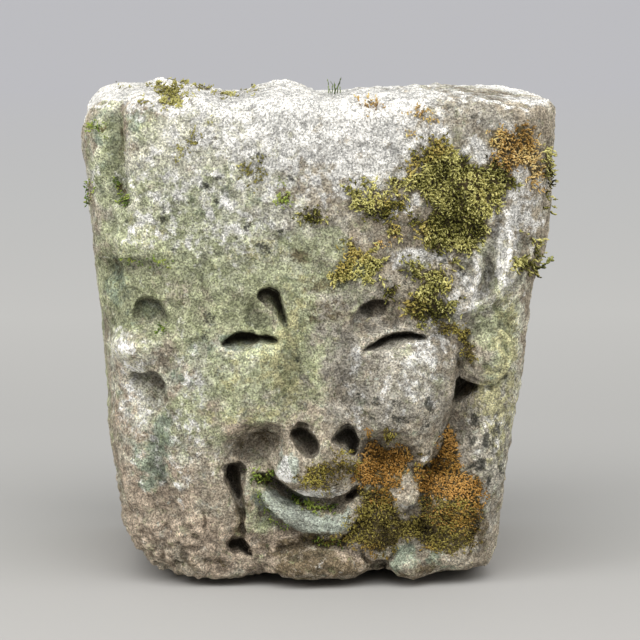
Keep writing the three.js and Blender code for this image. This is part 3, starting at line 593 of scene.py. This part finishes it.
# where each growth or stain lies: across, down, reach across and down in the frame's pixels, strength
zones = {
    "lichen": [(365, 135, 100, 68, 0.9), (300, 95, 160, 28, 0.95), (240, 125, 100, 50, 0.6), (470, 90, 90, 16, 0.3),
               (150, 95, 60, 24, 0.6), (165, 190, 62, 46, 0.4), (270, 190, 70, 44, 0.4), (138, 235, 34, 22, 0.5),
               (505, 265, 18, 46, 0.6), (470, 285, 24, 44, 0.5), (515, 205, 40, 60, 0.6), (485, 155, 26, 16, 0.8),
               (498, 118, 26, 16, 0.8), (420, 260, 36, 14, 0.7), (290, 472, 16, 16, 0.7), (320, 494, 30, 7, 0.8),
               (405, 385, 54, 46, 0.3), (490, 425, 26, 50, 0.3), (350, 390, 14, 60, 0.4), (125, 355, 30, 36, 0.5),
               (130, 400, 40, 44, 0.4), (95, 175, 12, 26, 0.5), (410, 506, 16, 12, 0.8), (425, 462, 10, 8, 0.6),
               (432, 340, 26, 30, 0.5), (175, 460, 60, 50, 0.3), (190, 390, 30, 60, 0.35),
               (230, 235, 70, 30, 0.35), (405, 210, 26, 16, 0.6)],
    # the patch at 288, 345 on the ridge of the nose is partly its pale colour, partly a painted highlight
    "cream": [(250, 250, 90, 50, 0.5), (200, 180, 110, 70, 1), (240, 245, 110, 44, 1), (112, 170, 24, 70, 1), (288, 345, 24, 70, 0.9), (145, 238, 50, 36, 1),
              (235, 380, 60, 44, 0.8), (135, 380, 50, 80, 0.7), (508, 340, 26, 110, 0.9), (496, 440, 26, 70, 0.7),
              (400, 370, 60, 60, 0.4), (490, 270, 40, 60, 0.6), (170, 450, 50, 40, 0.4),
              (96, 172, 10, 30, 0.8), (230, 130, 90, 40, 0.8)],
    "algae": [(84, 190, 14, 100, 0.8), (96, 300, 16, 60, 0.7), (170, 265, 115, 95, 0.8), (115, 160, 28, 62, 1), (293, 355, 36, 66, 1), (230, 300, 95, 75, 0.8),
              (240, 385, 75, 50, 0.75), (180, 430, 55, 50, 0.55), (310, 268, 60, 50, 0.7), (118, 285, 32, 50, 1),
              (430, 375, 30, 30, 0.25), (256, 505, 16, 40, 0.8), (500, 340, 26, 70, 0.8), (150, 130, 30, 26, 0.4),
              (200, 200, 60, 40, 0.3), (480, 330, 30, 30, 0.5)],
    "teal": [(118, 280, 22, 34, 0.8), (150, 312, 18, 18, 0.8), (155, 455, 18, 46, 0.85), (110, 150, 12, 50, 0.45),
             (290, 500, 26, 16, 0.9), (320, 530, 26, 14, 1), (286, 466, 16, 14, 0.8), (208, 345, 30, 20, 0.6),
             (180, 375, 20, 20, 0.5), (398, 562, 22, 12, 0.6), (215, 200, 60, 30, 0.35), (140, 118, 22, 18, 0.6),
             (95, 135, 12, 14, 0.6), (235, 345, 30, 12, 0.5), (440, 560, 40, 10, 0.5)],
    "milky": [(278, 502, 26, 18, 1), (300, 517, 26, 16, 0.9), (322, 527, 30, 14, 1), (288, 468, 14, 18, 0.8), (240, 345, 34, 10, 0.4),
              (345, 520, 16, 12, 0.6)],
    "bare": [(150, 525, 78, 75, 1), (125, 420, 40, 70, 0.6), (320, 566, 64, 20, 1), (235, 550, 70, 38, 1),
             (112, 390, 24, 60, 0.5), (230, 420, 50, 40, 0.4), (125, 140, 10, 44, 0.9), (300, 250, 40, 26, 0.5)],
    "grey": [(400, 390, 80, 70, 0.9), (490, 450, 45, 120, 0.8), (330, 310, 50, 80, 0.7), (465, 290, 60, 60, 0.7),
             (350, 400, 30, 60, 0.8), (470, 115, 70, 34, 0.8), (300, 230, 60, 40, 0.6), (370, 290, 50, 30, 0.6)],
    # the patch at 290, 330 on the ridge of the nose is partly its pale colour, partly a painted highlight
    "yellow": [(488, 400, 24, 34, 0.9), (506, 340, 20, 90, 0.9), (500, 430, 20, 60, 0.7), (286, 380, 30, 44, 0.8), (250, 375, 40, 26, 0.5), (290, 330, 22, 60, 0.7),
               (150, 240, 40, 24, 0.4), (262, 252, 36, 26, 0.6), (240, 418, 40, 14, 0.6), (330, 516, 34, 12, 0.5)],
    # brown soil low down, and painted shade beside the nose wings, under the ear lobe, in the left hollows and below
    # the lower lip
    "soilAndShade": [(322, 300, 38, 36, 0.6), (312, 566, 60, 20, 0.8), (250, 438, 34, 24, 0.4), (228, 450, 24, 14, 0.35), (264, 440, 18, 20, 0.45), (124, 140, 7, 36, 0.7),
             (478, 520, 22, 50, 0.7), (330, 472, 34, 20, 0.4), (420, 574, 80, 12, 0.7), (320, 570, 56, 18, 1),
             (410, 470, 70, 60, 0.5), (300, 545, 60, 14, 1), (470, 388, 22, 16, 0.8), (330, 400, 20, 30, 0.3),
             (465, 348, 14, 26, 0.5), (300, 258, 20, 14, 0.7), (200, 566, 60, 12, 0.5), (243, 520, 8, 30, 0.8),
             (118, 268, 24, 20, 0.6), (376, 104, 14, 7, 0.7), (150, 303, 20, 8, 0.5)],
    "greyTop": [(492, 92, 80, 20, 1), (474, 112, 60, 26, 0.7)],
    "crust": [(217, 178, 6, 5, 1), (214, 203, 6, 4, 0.9), (205, 186, 8, 4, 0.9), (158, 187, 4, 3, 1),
              (247, 228, 8, 5, 0.8), (282, 231, 7, 5, 0.9), (261, 246, 8, 5, 1), (252, 155, 9, 3, 0.9),
              (124, 218, 3, 5, 0.9), (162, 217, 4, 8, 0.8), (292, 178, 10, 6, 0.9), (206, 318, 12, 10, 0.7),
              (203, 336, 8, 8, 0.7), (298, 355, 5, 10, 0.7), (430, 405, 8, 8, 0.9), (400, 420, 16, 8, 0.8),
              (396, 404, 10, 6, 0.7), (474, 420, 10, 12, 0.8), (492, 448, 8, 22, 0.7), (468, 468, 8, 8, 0.7),
              (482, 398, 8, 5, 0.5), (505, 378, 4, 14, 0.7), (440, 262, 10, 10, 0.6), (460, 272, 8, 6, 0.7),
              (475, 114, 5, 3, 0.8), (492, 116, 5, 3, 0.7), (172, 210, 24, 20, 0.4), (340, 280, 20, 16, 0.5),
              (380, 280, 14, 10, 0.6), (174, 250, 12, 6, 0.6), (216, 252, 16, 8, 0.5), (262, 510, 4, 12, 0.5), (497, 425, 6, 15, 0.9),
              (485, 440, 6, 11, 0.9), (480, 465, 7, 11, 0.9), (501, 470, 5, 15, 0.8), (472, 440, 7, 9, 0.8),
              (488, 482, 6, 9, 0.8), (478, 502, 7, 7, 0.8), (468, 394, 7, 7, 0.7), (356, 396, 9, 8, 0.7),
              (378, 402, 8, 7, 0.8), (372, 415, 10, 6, 0.7), (430, 408, 5, 12, 0.9), (425, 425, 5, 8, 0.8),
              (440, 436, 6, 12, 0.8), (428, 452, 8, 8, 0.7), (300, 372, 5, 8, 0.5), (268, 252, 8, 6, 0.6),
              (345, 262, 10, 8, 0.5), (408, 280, 8, 10, 0.6), (190, 262, 10, 5, 0.5), (170, 470, 8, 14, 0.5)],
}

# on the other sides: strength, the heights between which it sets in, and those between which it fades
sideGrowth = {"lichen": (0.8, 0.02, 0.16, 0.3, 0.4), "cream": (0.7, -0.12, 0.05, 0.3, 0.4),
              "algae": (0.7, -0.17, -0.05, 0.03, 0.14), "bare": (0.9, -0.4, -0.3, -0.15, -0.06)}


def strayed(places, shifts):  # places pushed about, so that no growth has a clean outline
    return places + np.array([sum((noise.noise_vector(Vector(place) * pace) * reach for pace, reach in shifts),
                                  Vector()) for place in places])


def zoneMask(places, patches):
    left = np.ones(len(places))
    for x, y, across, down, strength in patches:
        centre = onStone(x, y)[0]
        if centre is None:
            continue
        away = (places - np.array(centre)) @ eyeAxes / pixel
        depth = max(across, down)
        far = np.sqrt((away[:, 0] / across) ** 2 + (away[:, 1] / down) ** 2 + (away[:, 2] / depth) ** 2)
        left *= 1 - strength * (1 - smoothStep(0.25, 1.25, far))
    return 1 - left


def keepAsAttribute(mesh, name, values):
    layer = mesh.attributes.new(name, "FLOAT", "POINT")
    layer.data.foreach_set("value", np.ascontiguousarray(values, dtype=np.float32))


def paintZones(block):
    mesh = block.data
    places, ends = points(mesh), edgeEnds(mesh)
    outward = normals(mesh)
    ragged, frayed = strayed(places, ((30, 0.011), (95, 0.005))), strayed(places, ((150, 0.004),))
    for name, patches in zones.items():
        mask = zoneMask(frayed if name in ("crust", "milky") else ragged, patches)
        if name == "lichen":  # lime lichen favours the weather side, the top, but not its right-hand end
            mask = np.maximum(mask, 0.75 * smoothStep(0.45, 0.9, outward[:, 2]) * smoothStep(0.1, 0.16, places[:, 2]))
            mask *= 1 - 0.6 * zoneMask(ragged, zones["greyTop"])
        if name in sideGrowth:  # the sides that the camera does not see, by height
            amount, start, full, fade, gone = sideGrowth[name]
            height = ragged[:, 2]
            band = smoothStep(start, full, height) * (1 - smoothStep(fade, gone, height))
            mask = np.maximum(mask, amount * band * smoothStep(-0.26, -0.17, places[:, 1]))
        keepAsAttribute(mesh, name, mask)
    spots, rays = frameSpots(places), sightRays(places)
    seen = smoothStep(0.02, 0.2, -(outward * rays).sum(1)) * (places[:, 1] < -0.1)
    # painted shade kept for the look, strongest deep in the hollows
    keepAsAttribute(mesh, "paintedHoleShade", cutDepths(spots)[2] * seen)
    # the stone under each moss bed, to be darkened: partly the moss's own dark bed, partly painted shade in the gaps
    # between shoots
    mossBedAndShade = np.zeros(len(places))
    for bed in mossBeds.values():
        for outline, cover in bed.get("beds", []):
            gap = alongPath(spots, outline + outline[:1])[0] * np.where(insideOutline(spots, outline), 1, -1)
            mossBedAndShade = np.maximum(mossBedAndShade, cover * smoothStep(-4, 5, gap))
    keepAsAttribute(mesh, "mossBedAndShade", mossBedAndShade * seen)
    # how far each place stands out, at two sizes, which the look turns into painted shade in hollows and painted light
    # on ridges
    soft = places
    for name, rounds, reach in (("worn", 8, 0.0005), ("broadShadeAndLight", 60, 0.0022)):  # how far a place stands out
        for turn in range(rounds):
            soft = soft + (neighbourMean(soft, ends) - soft) * 0.7
        keepAsAttribute(mesh, name, np.clip(((places - soft) * outward).sum(1) / reach, -1, 1))



paintZones(stone)
print("stage: growth zones painted")


def linearColour(code):  # sRGB hex to the linear values that a node takes
    parts = [int(code[k:k + 2], 16) / 255 for k in (0, 2, 4)]
    return [c / 12.92 if c <= 0.04045 else ((c + 0.055) / 1.055) ** 2.4 for c in parts] + [1.0]


def addNode(tree, kind, settings=None, links=None):
    node = tree.nodes.new(kind)
    for name, value in (settings or {}).items():
        if isinstance(name, str) and hasattr(node, name):
            setattr(node, name, value)
        else:
            node.inputs[name].default_value = value
    for name, (source, output) in (links or {}).items():
        tree.links.new(source.outputs[output], node.inputs[name])
    return node


# layers from the bare stone outwards: grain in mm, how far the patch mask lifts the noise over its bar,
# how soft the border is, and how much of the layer covers what is below
stoneLayers = [
    {"name": "palerBed", "colour": "cbc1ad", "grain": 22, "mask": None, "gain": 0, "bar": 0.4, "soft": 0.3,
     "amount": 0.8},
    {"name": "creamCrust", "colour": "e2e1cc", "grain": 12, "mask": "cream", "gain": 0.6, "bar": 0.6, "soft": 0.35,
     "amount": 0.85},
    {"name": "bareBeige", "colour": "bfad98", "grain": 18, "mask": "bare", "gain": 0.5, "bar": 0.6, "soft": 0.4,
     "amount": 0.9},
    {"name": "greyWeathering", "colour": "b3ada0", "grain": 14, "mask": "grey", "gain": 0.5, "bar": 0.6,
     "soft": 0.35, "amount": 0.85},
    {"name": "algaeFilm", "colour": "bcc19a", "grain": 18, "mask": "algae", "gain": 0.55, "bar": 0.6, "soft": 0.4,
     "amount": 0.85},
    {"name": "yellowAlgae", "colour": "c2bc8e", "grain": 8, "mask": "yellow", "gain": 0.55, "bar": 0.7, "soft": 0.3,
     "amount": 0.85},
    {"name": "tealFilm", "colour": "8c9985", "grain": 11, "mask": "teal", "gain": 0.6, "bar": 0.66, "soft": 0.35,
     "amount": 0.85},
    {"name": "milkyFilm", "colour": "b4bbae", "grain": 9, "mask": "milky", "gain": 0.7, "bar": 0.66, "soft": 0.3,
     "amount": 0.9},
    # brown soil, and painted shade where its patches lie in hollows and under overhangs
    {"name": "soilAndShadeStain", "colour": "65573d", "grain": 10, "mask": "soilAndShade", "gain": 0.62, "bar": 0.72, "soft": 0.35,
     "amount": 0.85},
    {"name": "greenMottle", "colour": "8a9068", "grain": 7, "mask": "algae", "gain": 0.2, "bar": 0.62, "soft": 0.25,
     "amount": 0.6},
    {"name": "paleMottle", "colour": "dad5c6", "grain": 7, "mask": "lichen", "gain": 0.3, "bar": 0.74, "soft": 0.2,
     "amount": 0.7},
    {"name": "darkMottle", "colour": "67614f", "grain": 5, "mask": "grey", "gain": 0.14, "bar": 0.66, "soft": 0.2,
     "amount": 0.6},
    {"name": "limeLichen", "colour": "f6f4ee", "grain": 9, "mask": "lichen", "gain": 0.72, "bar": 0.7, "soft": 0.34,
     "amount": 0.95},
    {"name": "greyFlecks", "colour": "605e51", "grain": 2.6, "mask": None, "gain": 0, "bar": 0.76, "soft": 0.07,
     "amount": 0.65},
    {"name": "paleFlecks", "colour": "ddd6c8", "grain": 2.9, "mask": None, "gain": 0, "bar": 0.77, "soft": 0.06,
     "amount": 0.6},
    {"name": "darkPores", "colour": "3b382c", "grain": 1.7, "mask": None, "gain": 0, "bar": 0.8, "soft": 0.05,
     "amount": 0.7},
    {"name": "blackCrust", "colour": "41423b", "grain": 3.4, "mask": "crust", "gain": 0.8, "bar": 0.86, "soft": 0.3,
     "amount": 0.85},
    # dark olive-brown under the moss: partly its bed, partly painted shade between the shoots
    {"name": "darkMossBedAndShade", "colour": "655732", "grain": 5, "mask": "mossBedAndShade", "gain": 0.62, "bar": 0.72, "soft": 0.25,
     "amount": 0.88},
]


def limestoneLook():
    # weathered limestone: dull and grainy, IOR about 1.5, roughness 0.85 to 0.95, no gloss even on worn edges
    look = bpy.data.materials.new("weatheredLimestone")
    look.use_nodes = True
    tree = look.node_tree
    shader = tree.nodes["Principled BSDF"]
    where = addNode(tree, "ShaderNodeTexCoord")
    colour = addNode(tree, "ShaderNodeRGB")
    colour.outputs[0].default_value = linearColour("a59986")
    below = (colour, 0)
    for number, layer in enumerate(stoneLayers):
        shifted = addNode(tree, "ShaderNodeMapping", {"Location": (number * 1.7, number * 2.3, number * 0.9)},
                          {"Vector": (where, "Object")})
        cloud = addNode(tree, "ShaderNodeTexNoise", {"Scale": 1000 / layer["grain"], "Detail": 7, "Roughness": 0.7},
                        {"Vector": (shifted, 0)})
        value = addNode(tree, "ShaderNodeMapRange", {"clamp": False, "From Min": 0.25, "From Max": 0.75},
                        {"Value": (cloud, 0)})
        if layer["mask"]:
            mask = addNode(tree, "ShaderNodeAttribute", {"attribute_name": layer["mask"]})
            value = addNode(tree, "ShaderNodeMath", {"operation": "MULTIPLY_ADD", 1: layer["gain"]},
                            {0: (mask, "Fac"), 2: (value, 0)})
        cover = addNode(tree, "ShaderNodeMapRange", {"interpolation_type": "SMOOTHSTEP", "From Min": layer["bar"],
                        "From Max": layer["bar"] + layer["soft"], "To Max": layer["amount"]}, {"Value": (value, 0)})
        mixed = addNode(tree, "ShaderNodeMix", {"data_type": "RGBA", 7: linearColour(layer["colour"])},
                        {0: (cover, 0), 6: below})
        below = (mixed, 2)
    # mottling, then salt and pepper grain, drawn a little coarser than sand so that it shows at the frame's size
    for size, low, high, bottom, top in ((30, 0.3, 0.7, 0.86, 1.14), (12, 0.3, 0.7, 0.8, 1.18),
                                         (4.5, 0.3, 0.7, 0.86, 1.13), (1.9, 0.33, 0.67, 0.76, 1.22)):
        grain = addNode(tree, "ShaderNodeTexNoise", {"Scale": 1000 / size, "Detail": 4, "Roughness": 0.65},
                        {"Vector": (where, "Object")})
        strength = addNode(tree, "ShaderNodeMapRange", {"From Min": low, "From Max": high, "To Min": bottom,
                           "To Max": top}, {"Value": (grain, 0)})
        mixed = addNode(tree, "ShaderNodeVectorMath", {"operation": "SCALE"}, {0: below, 3: (strength, 0)})
        below = (mixed, 0)
    sand = addNode(tree, "ShaderNodeTexVoronoi", {"Scale": 1000 / 1.05}, {"Vector": (where, "Object")})
    strength = addNode(tree, "ShaderNodeMapRange", {"From Min": 0.25, "From Max": 0.75, "To Min": 0.56,
                       "To Max": 1.44}, {"Value": (sand, "Color")})  # single grains, light and dark
    mixed = addNode(tree, "ShaderNodeVectorMath", {"operation": "SCALE"}, {0: below, 3: (strength, 0)})
    below = (mixed, 0)
    for name, bottom, top in (("worn", 0.84, 1.12), ("broadShadeAndLight", 0.7, 1.14)):  # painted shade in every hollow and painted light on every ridge, at two sizes
        height = addNode(tree, "ShaderNodeAttribute", {"attribute_name": name})
        strength = addNode(tree, "ShaderNodeMapRange", {"From Min": -1, "To Min": bottom, "To Max": top},
                           {"Value": (height, "Fac")})
        mixed = addNode(tree, "ShaderNodeVectorMath", {"operation": "SCALE"}, {0: below, 3: (strength, 0)})
        below = (mixed, 0)
    # painted shade in the drilled hollows, mixed towards near black
    dark = addNode(tree, "ShaderNodeAttribute", {"attribute_name": "paintedHoleShade"})
    mixed = addNode(tree, "ShaderNodeMix", {"data_type": "RGBA", 7: linearColour("241e14")},
                    {0: (dark, "Fac"), 6: below})
    tree.links.new(mixed.outputs[2], shader.inputs["Base Color"])
    shader.inputs["Roughness"].default_value = 0.9
    shader.inputs["IOR"].default_value = 1.5
    shader.inputs["Specular IOR Level"].default_value = 0.25
    pits = addNode(tree, "ShaderNodeTexNoise", {"Scale": 1000 / 4.8, "Detail": 6, "Roughness": 0.75},
                   {"Vector": (where, "Object")})
    worn = addNode(tree, "ShaderNodeBump", {"Strength": 1.0, "Distance": 0.0034}, {"Height": (pits, 0)})
    fine = addNode(tree, "ShaderNodeTexNoise", {"Scale": 1000 / 1.7, "Detail": 3, "Roughness": 0.7},
                   {"Vector": (where, "Object")})
    bump = addNode(tree, "ShaderNodeBump", {"Strength": 1.0, "Distance": 0.0012},
                   {"Height": (fine, 0), "Normal": (worn, 0)})
    tree.links.new(bump.outputs[0], shader.inputs["Normal"])
    return look


stone.data.materials.clear()
stone.data.materials.append(limestoneLook())
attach(stone, "root")
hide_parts("corbel")
print("stage: stone has its look")


def mossCord(girth, curl, faces):
    # one shoot along +X, a unit long: a thin curled cord of close leaves, as arrays of points and faces
    bpy.ops.object.select_all(action="DESELECT")
    bpy.ops.mesh.primitive_uv_sphere_add(segments=faces[0], ring_count=faces[1], radius=0.5, rotation=(0, math.pi / 2, 0))
    cord = bpy.context.object
    bpy.ops.object.mode_set(mode="EDIT")
    bpy.ops.mesh.select_all(action="SELECT")
    bpy.ops.mesh.quads_convert_to_tris()
    bpy.ops.object.mode_set(mode="OBJECT")
    bpy.ops.object.transform_apply(location=True, rotation=True, scale=True)
    bare = points(cord.data)
    corners = np.array([list(face.vertices) for face in cord.data.polygons])
    bpy.data.objects.remove(cord)
    share = np.arccos(np.clip(-2 * bare[:, 0], -1, 1)) / math.pi  # 0 at the root, 1 at the tip
    around = np.arctan2(bare[:, 2], bare[:, 1])
    ring = np.round(share * faces[1]).astype(int)
    width = girth * np.sin(math.pi * np.clip(share, 0.03, 0.97)) ** 0.6 * (1 - 0.35 * share)
    width *= np.where(ring % 2 == 1, 1.3, 0.75)  # leaf tips stand out on every other ring
    bend = curl * share
    reach = np.stack([np.sin(bend), 1 - np.cos(bend)], 1) / curl
    leafy = width * (0.8 + 0.4 * np.cos(around * 2.5 + ring * 1.9))
    flat = np.stack([reach[:, 0] - np.sin(bend) * leafy * np.sin(around), leafy * np.cos(around),
                     reach[:, 1] + np.cos(bend) * leafy * np.sin(around)], 1)
    # lighter towards the tip, with painted light on each cord's upper side and painted shade on its underside
    lit = np.clip(0.25 + 0.55 * share + 0.35 * np.sin(around), 0, 1)
    return flat, corners, lit


def rootingPlaces(bed, cover, spacing, random):
    # places and normals on the stone inside an outline, thinned at its border and by the cover
    xs, ys = zip(*bed)
    box = (max(xs) - min(xs) + 8) * (max(ys) - min(ys) + 8)
    wanted = int(box * (pixel * 1000) ** 2 / spacing ** 2 * 1.7)
    spots = np.stack([random.uniform(min(xs) - 4, max(xs) + 4, wanted),
                      random.uniform(min(ys) - 4, max(ys) + 4, wanted)], 1)
    depth = alongPath(spots, bed + bed[:1])[0] * np.where(insideOutline(spots, bed), 1, -1)
    ragged = np.array([noise.noise(Vector((x / 6, y / 6, 3.1))) + 0.6 * noise.noise(Vector((x / 2.5, y / 2.5, 7.4)))
                       for x, y in spots])
    keep = smoothStep(-4.0, 4.5, depth + ragged * 9) * cover > random.uniform(0, 1, wanted)
    keep &= (depth > -5) & ((depth > 1) | (ragged > 0.1)) & (ragged > -0.62 * (2 - cover))
    found = []
    for x, y in spots[keep]:
        place, normal = onStone(x, y)
        if place is not None and place.y < -0.01:
            found.append((place, normal))
    return found


def plantMoss(name, bed):
    random = np.random.default_rng(bed["seed"])
    shapes = [mossCord(bed["girth"], curl, bed["faces"]) for curl in (0.5, 1.2, 1.9)]
    rooted = []
    for outline, cover in bed.get("beds", []):
        rooted += rootingPlaces(outline, cover, bed["spacing"], random)
    cords = []  # root, heading, the way that the tip curls, length, shape
    for place, normal in rooted:
        around = Vector(random.normal(size=3)) + Vector((0, 0, -0.25))
        along = (around - around.dot(normal) * normal).normalized()
        lean = math.radians(random.uniform(*bed["lean"]))
        heading = along * math.cos(lean) + normal * math.sin(lean)
        side = heading.cross(normal if lean < 1.2 else along).normalized()
        roll = random.uniform(-0.5, 0.5)
        up = side.cross(heading).normalized() * math.cos(roll) + side * math.sin(roll)
        cords.append((place + normal * random.uniform(-0.0004, 0.0012), heading, up,
                      random.uniform(*bed["length"]) / 1000, shapes[random.integers(3)]))
    for runner in bed.get("runners", []):
        left, down = bed["root"]
        root = onStone(left, down)[0]
        steps = [root + Vector(eyeAxes @ np.array([x - left, down - y, 0])) * pixel for x, y in runner]
        for start, end in zip(steps, steps[1:]):
            heading = (end - start).normalized()
            cords.append((start, heading, heading.cross(Vector((0.2, 1, 0.1))).normalized(),
                          (end - start).length * 1.2, mossCord(bed["girth"], 0.15, bed["faces"])))
    allPoints, allFaces, tips, tones, ages = [], [], [], [], []
    first = 0
    for place, heading, up, length, (shape, faces, tipAndLitSide) in cords:
        turn = np.array([heading, up.cross(heading), up]) * length
        allPoints.append(shape @ turn + np.array(place))
        allFaces.append(faces + first)
        tips.append(tipAndLitSide)
        patch = noise.noise(place * 55) + 0.5 * noise.noise(place * 160)
        tones.append(np.full(len(shape), np.clip(random.uniform(0, 1) * 0.7 + 0.15 + 0.9 * patch, 0, 1)))
        age = 0.3 + 1.3 * noise.noise(place * 38 + Vector((5, 1, 2))) + random.uniform(-0.2, 0.2)
        ages.append(np.full(len(shape), np.clip(age, 0, 1)))
        first += len(shape)
    mesh = bpy.data.meshes.new(name)
    mesh.from_pydata(np.vstack(allPoints).tolist(), [], np.vstack(allFaces).tolist())
    moss = bpy.data.objects.new(name, mesh)
    bpy.context.scene.collection.objects.link(moss)
    # per point: lighter towards the tip, with painted light on each shoot's upper side
    keepAsAttribute(mesh, "tipAndLitSide", np.concatenate(tips))
    keepAsAttribute(mesh, "tone", np.concatenate(tones))
    keepAsAttribute(mesh, "age", np.concatenate(ages))
    mesh.materials.append(mossLook(name, bed["colours"], bed["aged"]))
    only(moss)
    bpy.ops.object.mode_set(mode="EDIT")
    bpy.ops.mesh.select_all(action="SELECT")
    bpy.ops.mesh.normals_make_consistent(inside=False)
    bpy.ops.object.mode_set(mode="OBJECT")
    bpy.ops.object.shade_smooth()
    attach(moss, "root")
    print("stage:", name, len(cords), "shoots,", len(mesh.polygons), "triangles")
    return moss


def mossLook(name, colours, aged):
    # living and half-dry moss: thin leaves with a soft matt surface, IOR about 1.4, roughness 0.6 to 0.8
    look = bpy.data.materials.new(name + "Leaf")
    look.use_nodes = True
    tree = look.node_tree
    shader = tree.nodes["Principled BSDF"]
    tipAndLitSide, tone, age = [addNode(tree, "ShaderNodeAttribute", {"attribute_name": part}) for part in ("tipAndLitSide", "tone", "age")]
    shaded = addNode(tree, "ShaderNodeMath", {"operation": "MULTIPLY_ADD", 1: 0.9, 2: -0.45}, {0: (tone, "Fac")})
    # the tip value also carries painted light on each shoot's upper side and painted shade beneath
    along = addNode(tree, "ShaderNodeMath", {"operation": "ADD"}, {0: (tipAndLitSide, "Fac"), 1: (shaded, 0)})
    lower = addNode(tree, "ShaderNodeMapRange", {"From Min": 0.05, "From Max": 0.4}, {"Value": (along, 0)})
    upper = addNode(tree, "ShaderNodeMapRange", {"From Min": 0.4, "From Max": 1.0}, {"Value": (along, 0)})
    dried = addNode(tree, "ShaderNodeMapRange", {"From Min": 0.35, "From Max": 0.85, "To Max": 0.7},
                    {"Value": (age, "Fac")})
    dark, middleTone, light = [linearColour(code) for code in colours]
    young = addNode(tree, "ShaderNodeMix", {"data_type": "RGBA", 6: dark, 7: middleTone}, {0: (lower, 0)})
    bright = addNode(tree, "ShaderNodeMix", {"data_type": "RGBA", 6: light, 7: linearColour(aged)}, {0: (dried, 0)})
    leaf = addNode(tree, "ShaderNodeMix", {"data_type": "RGBA"}, {0: (upper, 0), 6: (young, 2), 7: (bright, 2)})
    tree.links.new(leaf.outputs[2], shader.inputs["Base Color"])
    shader.inputs["Roughness"].default_value = 0.7
    shader.inputs["IOR"].default_value = 1.4
    shader.inputs["Specular IOR Level"].default_value = 0.3
    return look


for name, bed in mossBeds.items():
    plantMoss(name, bed)

# a pale seamless floor and soft studio light, mostly from above and in front
studio = {
    "floor": -0.195, "reach": 120,  # metres
    # grey of the paper by distance behind the block in metres: painted light, lighter far off where the studio's light
    # falls off, and a painted soft shadow darker just behind the block
    "tones": [(-0.5, "b0aeab"), (0.0, "a9a8a5"), (0.6, "a9a8a5"), (1.5, "b6b5b2"), (3.5, "b6b6b5"), (9.0, "b5b5b9")],
    "ambient": 0.5,
    "scrim": {"from": (-0.05, -0.75, 1.05), "strength": 2.2, "spread": 50},  # degrees
    "lamps": {
        "leftSoftbox": {"place": (-1.9, -1.3, 1.35), "size": 1.3, "watts": 24},
        "rightSoftbox": {"place": (1.9, -1.2, 1.25), "size": 1.3, "watts": 14},
    },
}
bpy.ops.object.select_all(action="DESELECT")
bpy.ops.mesh.primitive_plane_add(size=studio["reach"], location=(0, 0, studio["floor"]))
bpy.ops.object.transform_apply(location=True, rotation=True, scale=True)
floor = bpy.context.object
floor.name = "studioFloor"
floorLook = bpy.data.materials.new("paperWithPaintedLight")
floorLook.use_nodes = True
floorTree = floorLook.node_tree
floorWhere = addNode(floorTree, "ShaderNodeTexCoord")
floorParts = addNode(floorTree, "ShaderNodeSeparateXYZ", None, {0: (floorWhere, "Object")})
nearest, farthest = studio["tones"][0][0], studio["tones"][-1][0]
floorDepth = addNode(floorTree, "ShaderNodeMapRange", {"From Min": nearest, "From Max": farthest},
                     {"Value": (floorParts, "Y")})
floorRamp = addNode(floorTree, "ShaderNodeValToRGB", None, {0: (floorDepth, 0)})
stops = floorRamp.color_ramp.elements
while len(stops) < len(studio["tones"]):
    stops.new(0.5)
for stop, (depth, code) in zip(stops, studio["tones"]):
    stop.position = (depth - nearest) / (farthest - nearest)
    stop.color = linearColour(code)
# the paper's grey by depth: painted light far off and a painted soft shadow near the block
floorTree.links.new(floorRamp.outputs[0], floorTree.nodes["Principled BSDF"].inputs["Base Color"])
floorTree.nodes["Principled BSDF"].inputs["Roughness"].default_value = 0.9
floor.data.materials.append(floorLook)

for name, lamp in studio["lamps"].items():
    aim = Vector((0, -0.15, 0)) - Vector(lamp["place"])
    bpy.ops.object.light_add(type="AREA", location=lamp["place"], rotation=aim.to_track_quat("-Z", "Y").to_euler())
    light = bpy.context.object
    light.name = name
    light.data.size = lamp["size"]
    light.data.energy = lamp["watts"]
bpy.ops.object.light_add(type="SUN", rotation=Vector(studio["scrim"]["from"]).to_track_quat("Z", "Y").to_euler())
scrim = bpy.context.object
scrim.name = "scrim"
scrim.data.energy = studio["scrim"]["strength"]
scrim.data.angle = math.radians(studio["scrim"]["spread"])
world = bpy.data.worlds.new("studio")
world.use_nodes = True
world.node_tree.nodes["Background"].inputs["Color"].default_value = (1, 1, 1, 1)
world.node_tree.nodes["Background"].inputs["Strength"].default_value = studio["ambient"]
bpy.context.scene.world = world
bpy.context.scene.view_settings.view_transform = "Standard"
